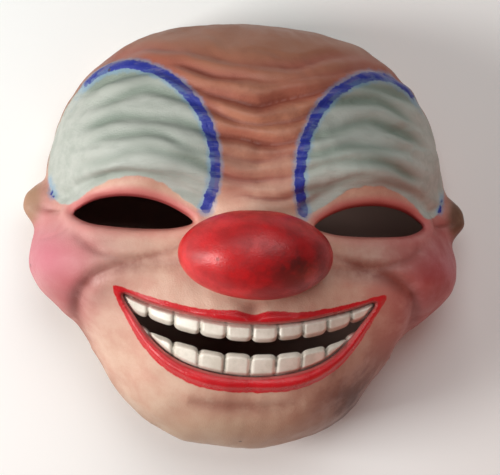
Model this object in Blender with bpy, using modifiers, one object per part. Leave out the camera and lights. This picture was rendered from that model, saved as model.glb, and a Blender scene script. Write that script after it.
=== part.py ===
"""A clown face mask, lying face up on its rim: a moulded latex face with its hollow nose, two rows of
teeth set behind the lips, and the elastic band that goes round the back of the wearer's head.

Metres, +Z up out of the face, +Y towards the crown, +X to the viewer's right. The origin is on the
surface that the rim lies on, under the middle of the mask."""

import math

import bmesh
import bpy
import numpy as np
from mathutils import Matrix, Vector

# The whole face
HALF_WIDTH = 0.100
HALF_HEIGHT = 0.0965
FACE_DEPTH = 0.074
RIM_SKIRT = 0.014
DOME_POWER = 2.7
WALL = 0.0022
RELIEF = 0.010
FORMS_BEGIN = 0.8
FORMS_FULL = 2.0

# Eye openings, measured from the middle of the face
EYE_SPACING = 0.106
EYE_LEVEL = 0.0064
EYE_HALF_WIDTH = 0.0262
EYE_HALF_HEIGHT = 0.0078
LID_ROLL = 0.17
LID_ROLL_PLACE = 0.030
LID_ROLL_WIDTH = 0.026
LID_CREASE = 0.16
LID_CREASE_PLACE = 0.088
LID_CREASE_WIDTH = 0.024

# Mouth, lips and teeth
MOUTH_LEVEL = -0.0300
MOUTH_HALF_WIDTH = 0.0560
MOUTH_DROP = 0.0330
UPPER_LIP_HEIGHT = 0.0032
LOWER_LIP_HEIGHT = 0.0044
LIP_ROLL_IN = 0.0010
LIP_LEAN = 0.85
FULL_LIP_WIDTH = 0.0160
UPPER_LIP_PLACE = (-0.75, -0.35)
BITE_LEVEL = -0.0500
BITE_RISE = 0.0122
SLIT_HEIGHT = 0.0060
TOOTH_WIDTH = 0.0112
TOOTH_BULGE = 0.0038
TOOTH_PLATE = 0.0022
TOOTH_NOTCH = 0.0008
TOOTH_NOTCH_WIDTH = 0.25
CROWN_BEGINS = 0.0004
CROWN_FULL = 0.0030
TEETH_MARGIN = 0.0045
TEETH_SEAT_GAP = 0.0008
UPPER_TEETH = 10
LOWER_TEETH = 8

# Nose
NOSE_LEVEL = -0.0095
NOSE_HALF_WIDTH = 0.0335
NOSE_HALF_HEIGHT = 0.0192
NOSE_REACH = 0.0280
NOSE_WALL = 0.0020
NOSE_SEAT_GAP = 0.0008
NOSE_SEAT_WIDTH = 0.0070
NOSE_UNDERCUT = math.radians(24)

# Ear stubs
EAR_LEVEL = 0.0110
EAR_HEIGHT = 0.0270
EAR_REACH = 0.0110
EAR_HALF_LENGTH = 0.0090
EAR_HALF_THICKNESS = 0.0062
EAR_SQUARENESS = (2.6, 2.2)

# Head strap and its rivets
STRAP_WIDTH = 0.0120
STRAP_LIFT = 0.0006
STRAP_THICKNESS = 0.0012
STRAP_END = 0.0080
STRAP_SLACK = 0.0070
STRAP_LEAVES_WALL = 0.10
RIVET_HEAD_RADIUS = 0.0036
RIVET_HEAD_THICKNESS = 0.0010
RIVET_HEAD_CROWN = 0.0005
RIVET_CROWN_BEND = (0.6, 0.3)
RIVET_SHANK_RADIUS = 0.0014
SEAT_GAP = 0.0003
SHANK_CLEARANCE = 0.0003

# How finely the solids are faceted
FACE_GRID = 150
FACE_KEEP = 0.066
NOSE_GRID = (30, 10)
TOOTH_GRID = (4, 4)
LOOP_POINTS = 96
STRAP_SPANS = 48
RIVET_SIDES = 12
CUT_POINTS = 48
CUTTER_REACH = 0.200
NORMAL_STEP = 1e-4
CORRECTIONS = 12
MERGE = 1e-6

# Reach of the rim at each angle round the face, from the chin (-90) past the ear (0) to the crown
# (90), as shares of the half width and half height
OUTLINE = (
    # angle, reach
    (-90, 0.975),
    (-75, 0.978),
    (-60, 0.932),
    (-45, 0.885),
    (-30, 0.868),
    (-15, 0.905),
    (0, 0.935),
    (15, 0.970),
    (30, 1.025),
    (45, 1.055),
    (60, 1.060),
    (75, 1.032),
    (90, 1.020),
)

# Broad forms raised from the dome, both sides alike: places and widths as shares of the half width
# and half height, heights as shares of the relief
FORMS = (
    # x, y, width, length, height
    (0.00, 0.56, 0.62, 0.34, 0.35),
    (0.46, 0.32, 0.34, 0.13, 0.75),
    (0.00, 0.22, 0.16, 0.16, 0.10),
    (0.52, 0.07, 0.30, 0.12, -1.00),
    (0.82, 0.30, 0.16, 0.24, -0.25),
    (0.77, -0.14, 0.24, 0.19, 1.45),
    (0.00, -0.10, 0.30, 0.26, 0.55),
    (0.00, -0.52, 0.50, 0.28, 1.35),
    (0.00, -0.86, 0.32, 0.15, 0.95),
    (0.42, -0.78, 0.26, 0.20, 0.45),
    (0.74, -0.42, 0.20, 0.22, 0.30),
)

# Opening of the right eye, as shares of its half width and half height from its middle
EYE_LOOP = (
    # x, y
    (-1.00, -0.35),
    (-0.72, 0.34),
    (-0.34, 0.82),
    (0.12, 1.00),
    (0.56, 0.80),
    (0.86, 0.34),
    (1.00, -0.16),
    (0.72, -0.62),
    (0.26, -0.78),
    (-0.26, -0.82),
    (-0.70, -0.72),
)

# Opening between the lips, right half from the middle of the upper lip to the middle of the lower
# one, as shares of the mouth's half width and of its drop below the level of its corners
MOUTH_LOOP = (
    # x, y
    (0.00, -0.290),
    (0.20, -0.275),
    (0.40, -0.230),
    (0.60, -0.165),
    (0.80, -0.080),
    (1.00, 0.020),
    (0.890, -0.290),
    (0.745, -0.590),
    (0.550, -0.820),
    (0.290, -0.955),
    (0.00, -1.000),
)

# Outer edge of the lips, in the same shares
LIP_LOOP = (
    # x, y
    (0.00, -0.165),
    (0.13, -0.110),
    (0.36, -0.115),
    (0.62, -0.050),
    (0.86, 0.045),
    (1.08, 0.135),
    (1.000, -0.200),
    (0.870, -0.570),
    (0.680, -0.910),
    (0.390, -1.150),
    (0.00, -1.215),
)

# Folds pressed along a line on the right side: points of each line as shares of the half width and
# half height, the fold's width as a share of the half width and its depth as a share of the relief
FOLDS = (
    # width, depth, line
    (0.034, 0.28, ((0.29, -0.15), (0.44, -0.16), (0.60, -0.18), (0.73, -0.27), (0.77, -0.42), (0.70, -0.58))),
    (0.030, 0.20, ((0.26, -0.78), (0.16, -0.795), (0.00, -0.80), (-0.16, -0.795), (-0.26, -0.78))),
    (0.022, 0.15, ((0.27, -0.03), (0.38, -0.10), (0.53, -0.135), (0.69, -0.10), (0.79, -0.02))),
    (0.018, 0.10, ((0.83, 0.13), (0.90, 0.16), (0.95, 0.22))),
    (0.018, 0.10, ((0.84, 0.07), (0.91, 0.07), (0.97, 0.09))),
    (0.045, 0.14, ((0.00, -0.31), (0.00, -0.35), (0.00, -0.39))),
)

# Furrows across the raised brow, from the lowest up: the level of each between the brows and how
# far it arches over each eye as shares of the half height, its depth as a share of the relief and
# its width as a share of the half width
FURROWS = (
    # level, arch, depth, width
    (0.150, 0.110, 0.09, 0.024),
    (0.235, 0.115, 0.16, 0.030),
    (0.315, 0.110, 0.12, 0.026),
    (0.395, 0.125, 0.22, 0.032),
    (0.485, 0.150, 0.17, 0.029),
    (0.580, 0.145, 0.27, 0.036),
    (0.680, 0.115, 0.16, 0.032),
    (0.775, 0.075, 0.13, 0.038),
)
BROW_ARCH_PLACE = 0.50
BROW_ARCH_WIDTH = 0.30
FURROW_REACH = 0.84
FURROW_FADE = 0.20
FURROW_RIDGE = 0.55
FURROW_RIDGE_PLACE = 1.35


def smooth_rows(at, rows):
    """A smooth curve through evenly spaced rows of (key, value), level at both ends."""
    keys = np.array([row[0] for row in rows], float)
    values = np.array([row[1] for row in rows], float)
    values = np.concatenate([values[1:2], values, values[-2:-1]])
    step = (np.clip(at, keys[0], keys[-1]) - keys[0]) / (keys[1] - keys[0])
    first = np.minimum(step.astype(int), len(keys) - 2)
    t = step - first
    a, b, c, d = (values[first + i] for i in range(4))
    return b + 0.5 * t * (c - a + t * (2 * a - 5 * b + 4 * c - d + t * (3 * (b - c) + d - a)))


def smooth_line(points, count, closed=False):
    """Evenly numbered points on the smooth curve that passes through the given ones."""
    points = np.array(points, float)
    if closed:
        points = np.concatenate([points[-1:], points, points[:2]])
    else:
        points = np.concatenate([2 * points[:1] - points[1:2], points, 2 * points[-1:] - points[-2:-1]])
    spans = len(points) - 3
    at = np.linspace(0, spans, count, endpoint=not closed)
    first = np.minimum(at.astype(int), spans - 1)
    t = (at - first)[:, None]
    a, b, c, d = (points[first + i] for i in range(4))
    return b + 0.5 * t * (c - a + t * (2 * a - 5 * b + 4 * c - d + t * (3 * (b - c) + d - a)))


def distance_to_line(x, y, line, closed=False):
    """Distance from each place (x, y) to a line of points, and how far along the line (0 to 1) the
    nearest point of it is. Inside a closed line the distance is negative."""
    starts = line
    ends = np.roll(line, -1, axis=0)
    if not closed:
        starts, ends = starts[:-1], ends[:-1]
    nearest = np.full(x.shape, np.inf)
    along = np.zeros(x.shape)
    crossings = np.zeros(x.shape, int)
    for number, (start, end) in enumerate(zip(starts, ends)):
        run = end - start
        share = np.clip(((x - start[0]) * run[0] + (y - start[1]) * run[1]) / (run @ run), 0, 1)
        away = np.hypot(x - start[0] - share * run[0], y - start[1] - share * run[1])
        along = np.where(away < nearest, (number + share) / len(starts), along)
        nearest = np.minimum(nearest, away)
        if closed and run[1]:
            crosses = (start[1] > y) != (end[1] > y)
            crossings += crosses & (x < start[0] + (y - start[1]) * run[0] / run[1])
    return np.where(crossings % 2 == 1, -nearest, nearest), along


def smooth_step(low, high, value):
    """0 below low, 1 above high, and an even rise between."""
    t = np.clip((value - low) / (high - low), 0, 1)
    return t * t * (3 - 2 * t)


def whole_loop(half_loop, scale, middle):
    """A closed smooth line from its right half, mirrored to the left, in metres."""
    right = np.array(half_loop, float)
    left = right[-2:0:-1] * (-1, 1)
    return smooth_line(np.concatenate([right, left]) * scale + middle, LOOP_POINTS, closed=True)


def mouth_loop():
    return whole_loop(MOUTH_LOOP, (MOUTH_HALF_WIDTH, MOUTH_DROP), (0, MOUTH_LEVEL))


def lip_loop():
    return whole_loop(LIP_LOOP, (MOUTH_HALF_WIDTH, MOUTH_DROP), (0, MOUTH_LEVEL))


def eye_loop(count=LOOP_POINTS):
    """The right eye's opening."""
    shares = np.array(EYE_LOOP, float) * (EYE_HALF_WIDTH, EYE_HALF_HEIGHT)
    return smooth_line(shares + (EYE_SPACING / 2, EYE_LEVEL), count, closed=True)


def rim_reach(angle):
    """Reach of the dome's foot at each angle, measured on the right side and mirrored, as a share."""
    side = np.arcsin(np.clip(np.sin(angle), -1, 1))
    return smooth_rows(np.degrees(side), OUTLINE)


def dome(u, v):
    """The plain dome with its straight skirt. The distance of (u, v) from the middle runs from 0 at
    the crest to 1 at the dome's foot, and on down the skirt."""
    run = np.hypot(u, v)
    angle = np.arctan2(v, u)
    reach = rim_reach(angle)
    spread = np.sin(np.minimum(run, 1) * math.pi / 2)
    height = RIM_SKIRT + (FACE_DEPTH - RIM_SKIRT) * np.sqrt(1 - spread**DOME_POWER)
    height = height - np.maximum(run - 1, 0) * FACE_DEPTH
    x = HALF_WIDTH * reach * spread * np.cos(angle)
    y = HALF_HEIGHT * reach * spread * np.sin(angle)
    return np.stack([x, y, height], axis=-1)


def raised(surface, height, u, v):
    """The surface moved along its own outward normal by height(points)."""
    points = surface(u, v)
    across = surface(u + NORMAL_STEP, v) - surface(u - NORMAL_STEP, v)
    up = surface(u, v + NORMAL_STEP) - surface(u, v - NORMAL_STEP)
    normal = np.cross(across, up)
    normal /= np.maximum(np.linalg.norm(normal, axis=-1, keepdims=True), 1e-20)
    return points + normal * height(points)[..., None]


def form_height(points):
    """Height of the broad forms over the dome: brows, sockets, cheeks, muzzle and chin, with the ear
    stubs low on the side walls."""
    x = np.abs(points[..., 0]) / HALF_WIDTH
    y = points[..., 1] / HALF_HEIGHT
    height = np.zeros(x.shape)
    for at_x, at_y, width, length, share in FORMS:
        height += share * RELIEF * np.exp(-(((x - at_x) / width) ** 2) - ((y - at_y) / length) ** 2)
    height *= smooth_step(FORMS_BEGIN * RIM_SKIRT, FORMS_FULL * RIM_SKIRT, points[..., 2])
    across = np.abs(points[..., 1] - EAR_LEVEL) / EAR_HALF_LENGTH
    deep = np.abs(points[..., 2] - EAR_HEIGHT) / EAR_HALF_THICKNESS
    return height + EAR_REACH * np.exp(-(across ** EAR_SQUARENESS[0]) - deep ** EAR_SQUARENESS[1])


def formed(u, v):
    """The dome with its broad forms, before lips, lids, furrows and folds."""
    return raised(dome, form_height, u, v)


def lip_height(x, y):
    """Lips: a roll between the opening and the outer edge of the lips, whose inner edge turns in."""
    from_opening, _ = distance_to_line(x, y, mouth_loop(), closed=True)
    from_edge, _ = distance_to_line(x, y, lip_loop(), closed=True)
    inner, outer = np.maximum(from_opening, 0), np.maximum(-from_edge, 0)
    across = np.clip(inner / np.maximum(inner + outer, 1e-9), 0, 1)
    upper = smooth_step(*UPPER_LIP_PLACE, (y - MOUTH_LEVEL) / MOUTH_DROP)
    crest = LOWER_LIP_HEIGHT + (UPPER_LIP_HEIGHT - LOWER_LIP_HEIGHT) * upper
    crest = crest * smooth_step(0, FULL_LIP_WIDTH, inner + outer)
    roll = crest * np.sin(math.pi * across**LIP_LEAN) ** 2
    return roll - LIP_ROLL_IN * (1 - smooth_step(0, 0.5, across))


def eyelid_height(x, y):
    """Eyelids: a rounded roll round the opening, and a crease over the upper lid."""
    away, _ = distance_to_line(np.abs(x), y, eye_loop(), closed=True)
    upper = smooth_step(-0.2 * EYE_HALF_HEIGHT, EYE_HALF_HEIGHT, y - EYE_LEVEL)
    share = away / HALF_WIDTH
    roll = LID_ROLL * np.exp(-(((share - LID_ROLL_PLACE) / LID_ROLL_WIDTH) ** 2))
    crease = LID_CREASE * upper * np.exp(-(((share - LID_CREASE_PLACE) / LID_CREASE_WIDTH) ** 2))
    return RELIEF * (roll - crease)


def furrow_height(x, y):
    """Furrows over the raised brows, which arch over each eye and dip between them."""
    side = np.abs(x) / HALF_WIDTH
    over_eye = np.exp(-(((side - BROW_ARCH_PLACE) / BROW_ARCH_WIDTH) ** 2))
    height = np.zeros(x.shape)
    for level, arch, depth, width in FURROWS:
        off = np.abs(y / HALF_HEIGHT - arch * over_eye - level) / width
        ridge = FURROW_RIDGE * np.exp(-((off - FURROW_RIDGE_PLACE) ** 2))
        height += depth * (ridge - np.exp(-(off**1.5)))
    return RELIEF * height * (1 - smooth_step(FURROW_REACH - FURROW_FADE, FURROW_REACH, side))


def fold_height(x, y):
    """Folds beside the nose and mouth, under the eyes, over the chin and at the eyes' corners."""
    height = np.zeros(x.shape)
    for width, depth, line in FOLDS:
        line = smooth_line(np.array(line) * (HALF_WIDTH, HALF_HEIGHT), 24)
        away, along = distance_to_line(np.abs(x), y, line)
        fade = np.clip(4 * along * (1 - along), 0, 1) ** 0.6
        height -= depth * fade * np.exp(-((away / HALF_WIDTH / width) ** 1.8))
    return RELIEF * height


def detail_height(points):
    """Lips, lids, furrows and folds together, fading out on the skirt."""
    x, y = points[..., 0], points[..., 1]
    height = lip_height(x, y) + eyelid_height(x, y) + furrow_height(x, y) + fold_height(x, y)
    return height * smooth_step(RIM_SKIRT, 2 * RIM_SKIRT, points[..., 2])


def face(u, v):
    """The whole outer face at (u, v)."""
    return raised(formed, detail_height, u, v)


def over(surface, x, y):
    """The surface's points that lie over the places (x, y), found by repeated correction."""
    aim_x, aim_y = x.copy(), y.copy()
    for _ in range(CORRECTIONS):
        angle = np.arctan2(aim_y / HALF_HEIGHT, aim_x / HALF_WIDTH)
        spread = np.hypot(aim_x / HALF_WIDTH, aim_y / HALF_HEIGHT) / rim_reach(angle)
        run = np.arcsin(np.clip(spread, 0, 0.995)) * 2 / math.pi
        points = surface(run * np.cos(angle), run * np.sin(angle))
        aim_x += x - points[..., 0]
        aim_y += y - points[..., 1]
    return points


def material(name, colour, roughness, metallic=0.0):
    made = bpy.data.materials.new(name)
    made.use_nodes = True
    shader = made.node_tree.nodes["Principled BSDF"]
    shader.inputs["Base Color"].default_value = (*colour, 1)
    shader.inputs["Roughness"].default_value = roughness
    shader.inputs["Metallic"].default_value = metallic
    return made


def new_collection(name):
    made = bpy.data.collections.new(name)
    bpy.context.scene.collection.children.link(made)
    return made


def place(obj, name, collection):
    """Names the object and moves it into one collection."""
    obj.name = name
    for holder in list(obj.users_collection):
        holder.objects.unlink(obj)
    collection.objects.link(obj)
    return obj


def grid_object(columns, rows):
    """A grid primitive, and its points as two arrays that run from -1 to 1."""
    bpy.ops.mesh.primitive_grid_add(x_subdivisions=columns, y_subdivisions=rows, size=2)
    obj = bpy.context.active_object
    flat = np.empty(len(obj.data.vertices) * 3)
    obj.data.vertices.foreach_get("co", flat)
    return obj, flat[0::3], flat[1::3]


def move_points(obj, points):
    obj.data.vertices.foreach_set("co", points.astype(np.float32).ravel())
    obj.data.update()


def thicken(obj, thickness):
    """Gives an open surface its wall, inwards."""
    wall = obj.modifiers.new("wall", "SOLIDIFY")
    wall.thickness = thickness
    wall.offset = -1


def cut(obj, cutter):
    boolean = obj.modifiers.new("cut_" + cutter.name, "BOOLEAN")
    boolean.operation = "DIFFERENCE"
    boolean.object = cutter


def as_cutter(obj, name, cutters):
    place(obj, name, cutters)
    obj.hide_render = True
    obj.display_type = "WIRE"
    return obj


def prism(name, loop, cutters):
    """A cutter with the given outline, straight through the face along Z."""
    curve = bpy.data.curves.new(name + "_outline", "CURVE")
    curve.dimensions = "2D"
    curve.fill_mode = "BOTH"
    curve.extrude = CUTTER_REACH / 2
    spline = curve.splines.new("POLY")
    spline.points.add(len(loop) - 1)
    for point, (x, y) in zip(spline.points, loop):
        point.co = (x, y, 0, 1)
    spline.use_cyclic_u = True
    outline = bpy.data.objects.new(name + "_outline", curve)
    bpy.context.scene.collection.objects.link(outline)
    mesh = bpy.data.meshes.new_from_object(outline.evaluated_get(bpy.context.evaluated_depsgraph_get()))
    bpy.data.objects.remove(outline)
    shape = bmesh.new()
    shape.from_mesh(mesh)
    bmesh.ops.remove_doubles(shape, verts=shape.verts, dist=MERGE)
    bmesh.ops.recalc_face_normals(shape, faces=shape.faces)
    shape.to_mesh(mesh)
    shape.free()
    obj = bpy.data.objects.new(name, mesh)
    bpy.context.scene.collection.objects.link(obj)
    return as_cutter(obj, name, cutters)


def face_shell(part, cutters, holes):
    """The moulded face: a fine grid shaped by the face function, lightened, given its wall, and cut
    level at the rim and open at the eyes, the mouth and behind the nose."""
    obj, a, b = grid_object(FACE_GRID, FACE_GRID)
    to_rim = 1 + (RIM_SKIRT + 2 * WALL) / FACE_DEPTH
    u = a * np.sqrt(1 - b**2 / 2) * to_rim
    v = b * np.sqrt(1 - a**2 / 2) * to_rim
    move_points(obj, face(u, v))
    place(obj, "face_shell", part)
    obj.data.materials.append(material("latex_skin", (0.72, 0.47, 0.36), 0.55))
    lighter = obj.modifiers.new("lighter", "DECIMATE")
    lighter.ratio = FACE_KEEP
    lighter.use_symmetry = True
    lighter.symmetry_axis = "X"
    thicken(obj, WALL)

    bpy.ops.mesh.primitive_cube_add(size=1)
    below = as_cutter(bpy.context.active_object, "below_rim", cutters)
    below.scale = (CUTTER_REACH * 2, CUTTER_REACH * 2, CUTTER_REACH)
    below.location = (0, 0, -CUTTER_REACH / 2)
    cut(obj, below)
    right = eye_loop(CUT_POINTS)
    cut(obj, prism("right_eye", right, cutters))
    cut(obj, prism("left_eye", right[::-1] * (-1, 1), cutters))
    cut(obj, prism("mouth", mouth_loop(), cutters))
    turns = np.linspace(0, 2 * math.pi, CUT_POINTS // 2, endpoint=False)
    seam = math.cos(NOSE_UNDERCUT)
    behind_nose = np.stack(
        [
            (NOSE_HALF_WIDTH * seam - NOSE_SEAT_WIDTH) * np.cos(turns),
            (NOSE_HALF_HEIGHT * seam - NOSE_SEAT_WIDTH) * np.sin(turns) + NOSE_LEVEL,
        ],
        axis=-1,
    )
    cut(obj, prism("behind_nose", behind_nose, cutters))
    for hole in holes:
        cut(obj, hole)
    return obj


def nose(part):
    """The hollow nose: a ball flattened from above and below, whose open foot follows the face."""
    obj, a, b = grid_object(*NOSE_GRID)
    turn = (a + 1) * math.pi
    lift = -NOSE_UNDERCUT + (b + 1) / 2 * (math.pi / 2 + NOSE_UNDERCUT)
    seam = math.cos(NOSE_UNDERCUT)
    foot = over(
        face,
        NOSE_HALF_WIDTH * seam * np.cos(turn),
        NOSE_HALF_HEIGHT * seam * np.sin(turn) + NOSE_LEVEL,
    )
    share = (np.sin(lift) + math.sin(NOSE_UNDERCUT)) / (1 + math.sin(NOSE_UNDERCUT))
    tip = over(face, np.zeros(1), np.array([NOSE_LEVEL]))[0, 2] + NOSE_REACH
    low = foot[:, 2] + NOSE_SEAT_GAP
    points = np.stack(
        [
            NOSE_HALF_WIDTH * np.cos(lift) * np.cos(turn),
            NOSE_HALF_HEIGHT * np.cos(lift) * np.sin(turn) + NOSE_LEVEL,
            low + (tip - low) * share,
        ],
        axis=-1,
    )
    move_points(obj, points)
    close_seam(obj)
    place(obj, "nose", part)
    obj.data.materials.append(material("red_nose", (0.62, 0.03, 0.03), 0.35))
    thicken(obj, NOSE_WALL)
    return obj


def close_seam(obj):
    """Joins the first and last columns of a grid that was bent round into a ring."""
    shape = bmesh.new()
    shape.from_mesh(obj.data)
    bmesh.ops.remove_doubles(shape, verts=shape.verts, dist=MERGE)
    bmesh.ops.recalc_face_normals(shape, faces=shape.faces)
    shape.to_mesh(obj.data)
    shape.free()


def bite_line(x):
    """Level of the middle of the slit between the two rows of teeth."""
    return BITE_LEVEL + BITE_RISE * (x / MOUTH_HALF_WIDTH) ** 2


def mouth_edge(x, upper):
    """Level of the opening's upper or lower edge over each x."""
    loop = mouth_loop()
    turn = int(np.argmax(loop[:, 0]))
    side = loop[: turn + 1] if upper else loop[turn : len(loop) // 2 + 1][::-1]
    return np.interp(np.abs(x), side[:, 0], side[:, 1])


def behind_lips(u, v):
    """The surface that the teeth lie on, just clear of the inner side of the wall."""
    back = WALL + LIP_ROLL_IN + TEETH_SEAT_GAP
    return raised(formed, lambda points: np.full(points.shape[:-1], -back), u, v)


def teeth(name, count, upper, part):
    """One row of teeth: a plate that follows the face behind the lips, with a rounded crown for each
    tooth in the opening and a plain margin behind the lips."""
    half = count * TOOTH_WIDTH / 2
    end = half + TOOTH_WIDTH / 2
    obj, a, b = grid_object(TOOTH_GRID[0] * (count + 1), TOOTH_GRID[1])
    x = a * end
    away = 1 if upper else -1
    beside = np.abs(x / TOOTH_WIDTH - np.round(x / TOOTH_WIDTH)) * 2
    notch = TOOTH_NOTCH * np.exp(-((beside / TOOTH_NOTCH_WIDTH) ** 2)) * (np.abs(x) < half)
    near = bite_line(x) + away * (SLIT_HEIGHT / 2 + notch)
    far = mouth_edge(x, upper) + away * TEETH_MARGIN
    far = np.where(away * (far - near) < TEETH_MARGIN, near + away * TEETH_MARGIN, far)
    y = near + (far - near) * (b + 1) / 2
    seat = over(behind_lips, x, y)
    inside, _ = distance_to_line(x, y, mouth_loop(), closed=True)
    rise = smooth_step(-TOOTH_NOTCH_WIDTH, 2 * TOOTH_NOTCH_WIDTH, beside)
    crown = smooth_step(CROWN_BEGINS, CROWN_FULL, -inside) * rise * (np.abs(x) < end)
    seat[:, 2] += TOOTH_BULGE * crown
    move_points(obj, seat)
    if not upper:
        obj.data.flip_normals()
    place(obj, name, part)
    obj.data.materials.append(material(name + "_enamel", (0.80, 0.79, 0.74), 0.3))
    thicken(obj, TOOTH_PLATE)
    return obj


def rim_angle(level):
    """Angle round the rim, on the right side, at which it passes this level."""
    angles = np.linspace(-math.pi / 2, math.pi / 2, 721)
    return np.interp(level, HALF_HEIGHT * rim_reach(angles) * np.sin(angles), angles)


def skirt_line(angles):
    """Places round the skirt's outer side at these angles, and the way out of the wall there."""
    reach = rim_reach(angles)
    line = np.stack([HALF_WIDTH * reach * np.cos(angles), HALF_HEIGHT * reach * np.sin(angles)], axis=-1)
    along = np.gradient(line, axis=0)
    along /= np.linalg.norm(along, axis=1, keepdims=True)
    return line, np.stack([along[:, 1], -along[:, 0]], axis=-1)


def rivet_frame(side):
    """Where a rivet passes through the outer side of the wall, with its axis pointing out."""
    line, outward = skirt_line(rim_angle(EAR_LEVEL) + np.linspace(-0.01, 0.01, 3))
    middle = Vector((side * line[1, 0], line[1, 1], STRAP_LIFT + STRAP_WIDTH / 2))
    axis = Vector((side * outward[1, 0], outward[1, 1], 0))
    return Matrix.Translation(middle) @ axis.to_track_quat("Z", "Y").to_matrix().to_4x4()


def rivet_hole(name, side, cutters):
    """The cutter that pierces both the wall and the band."""
    radius = RIVET_SHANK_RADIUS + SHANK_CLEARANCE
    depth = 4 * (WALL + STRAP_THICKNESS)
    bpy.ops.mesh.primitive_cylinder_add(vertices=RIVET_SIDES, radius=radius, depth=depth)
    hole = as_cutter(bpy.context.active_object, name, cutters)
    hole.matrix_world = rivet_frame(side)
    return hole


def rivet(name, side, part, metal):
    """A rivet with a low crowned head on each side, turned about its axis."""
    top = SEAT_GAP + RIVET_HEAD_THICKNESS
    under = -(WALL + STRAP_THICKNESS + 2 * SEAT_GAP)
    bottom = under - RIVET_HEAD_THICKNESS
    bend, drop = RIVET_CROWN_BEND
    profile = (
        (0, top),
        (bend * RIVET_HEAD_RADIUS, top - drop * RIVET_HEAD_CROWN),
        (RIVET_HEAD_RADIUS, top - RIVET_HEAD_CROWN),
        (RIVET_HEAD_RADIUS, SEAT_GAP),
        (RIVET_SHANK_RADIUS, SEAT_GAP),
        (RIVET_SHANK_RADIUS, under),
        (RIVET_HEAD_RADIUS, under),
        (RIVET_HEAD_RADIUS, bottom + RIVET_HEAD_CROWN),
        (bend * RIVET_HEAD_RADIUS, bottom + drop * RIVET_HEAD_CROWN),
        (0, bottom),
    )
    mesh = bpy.data.meshes.new(name)
    edges = [(number, number + 1) for number in range(len(profile) - 1)]
    mesh.from_pydata([(radius, 0, height) for radius, height in profile], edges, [])
    obj = bpy.data.objects.new(name, mesh)
    bpy.context.scene.collection.objects.link(obj)
    place(obj, name, part)
    turned = obj.modifiers.new("turned", "SCREW")
    turned.steps = turned.render_steps = RIVET_SIDES
    turned.use_merge_vertices = True
    turned.merge_threshold = MERGE
    obj.matrix_world = rivet_frame(side)
    mesh.materials.append(metal)
    return obj


def head_strap(part, holes):
    """The elastic band: riveted flat against the wall behind each ear stub, and lying on its edge
    just inside the wall, round the crown, when nobody wears the mask."""
    first = rim_angle(EAR_LEVEL - STRAP_END)
    line, outward = skirt_line(np.linspace(first, math.pi - first, STRAP_SPANS + 1))
    share = np.linspace(0, 1, STRAP_SPANS + 1)
    loose = STRAP_SLACK * smooth_step(STRAP_LEAVES_WALL, 0.5, np.minimum(share, 1 - share))
    line = line - outward * (WALL + SEAT_GAP + loose)[:, None]
    obj, a, b = grid_object(STRAP_SPANS, 1)
    column = np.round((a + 1) / 2 * STRAP_SPANS).astype(int)
    height = STRAP_LIFT + (b + 1) / 2 * STRAP_WIDTH
    move_points(obj, np.concatenate([line[column], height[:, None]], axis=1))
    place(obj, "head_strap", part)
    obj.data.materials.append(material("elastic_band", (0.03, 0.03, 0.03), 0.9))
    thicken(obj, STRAP_THICKNESS)
    for hole in holes:
        cut(obj, hole)
    return obj


def main():
    for obj in list(bpy.data.objects):
        bpy.data.objects.remove(obj)
    part = new_collection("clown_mask")
    cutters = new_collection("cutters")
    holes = [rivet_hole("left_rivet_hole", -1, cutters), rivet_hole("right_rivet_hole", 1, cutters)]
    face_shell(part, cutters, holes)
    nose(part)
    teeth("upper_teeth", UPPER_TEETH, True, part)
    teeth("lower_teeth", LOWER_TEETH, False, part)
    head_strap(part, holes)
    metal = material("rivet_metal", (0.60, 0.58, 0.55), 0.35, 1.0)
    rivet("left_rivet", -1, part, metal)
    rivet("right_rivet", 1, part, metal)


main()
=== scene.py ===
# %% [markdown]
# # A painted latex clown mask
#
# The imported model gives this script a fixed frame: plain faceted solids at their real size. Each of
# them is dressed here with a finer surface that follows the same form, and with a painted finish.
# The first cell loads the frame and keeps its solids, so that each can be hidden once it is dressed.

# %% Load the frame
import math

import bmesh
import bpy
import numpy as np
from mathutils import Matrix, Vector


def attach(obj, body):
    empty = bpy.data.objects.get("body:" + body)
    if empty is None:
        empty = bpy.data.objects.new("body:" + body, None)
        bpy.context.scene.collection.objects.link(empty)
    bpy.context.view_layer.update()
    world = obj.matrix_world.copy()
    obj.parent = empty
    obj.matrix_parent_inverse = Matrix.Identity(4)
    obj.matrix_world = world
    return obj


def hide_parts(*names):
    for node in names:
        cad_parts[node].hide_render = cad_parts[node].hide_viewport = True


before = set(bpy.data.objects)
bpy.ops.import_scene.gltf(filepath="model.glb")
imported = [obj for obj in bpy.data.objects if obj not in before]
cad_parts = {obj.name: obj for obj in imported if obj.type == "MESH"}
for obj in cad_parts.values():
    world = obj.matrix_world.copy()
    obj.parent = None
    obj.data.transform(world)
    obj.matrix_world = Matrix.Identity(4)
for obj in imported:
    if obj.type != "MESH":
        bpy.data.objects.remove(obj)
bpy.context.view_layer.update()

# %% [markdown]
# ## The camera
#
# The mask lies face up on its rim and the photographer stands over it, so the camera looks straight
# down, turned a little about its own axis. Going back and zooming in keeps the big nose from swelling,
# as it would in a wide lens close by.

# %% Place the camera
CAMERA_PLACE = (-0.060, -0.005, 0.760)
CAMERA_AIM = (0.0010, -0.0020, 0.040)
CAMERA_ROLL = math.radians(2.2)
SENSOR_WIDTH = 36.0
FRAME_WIDTH = 0.2290

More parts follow.
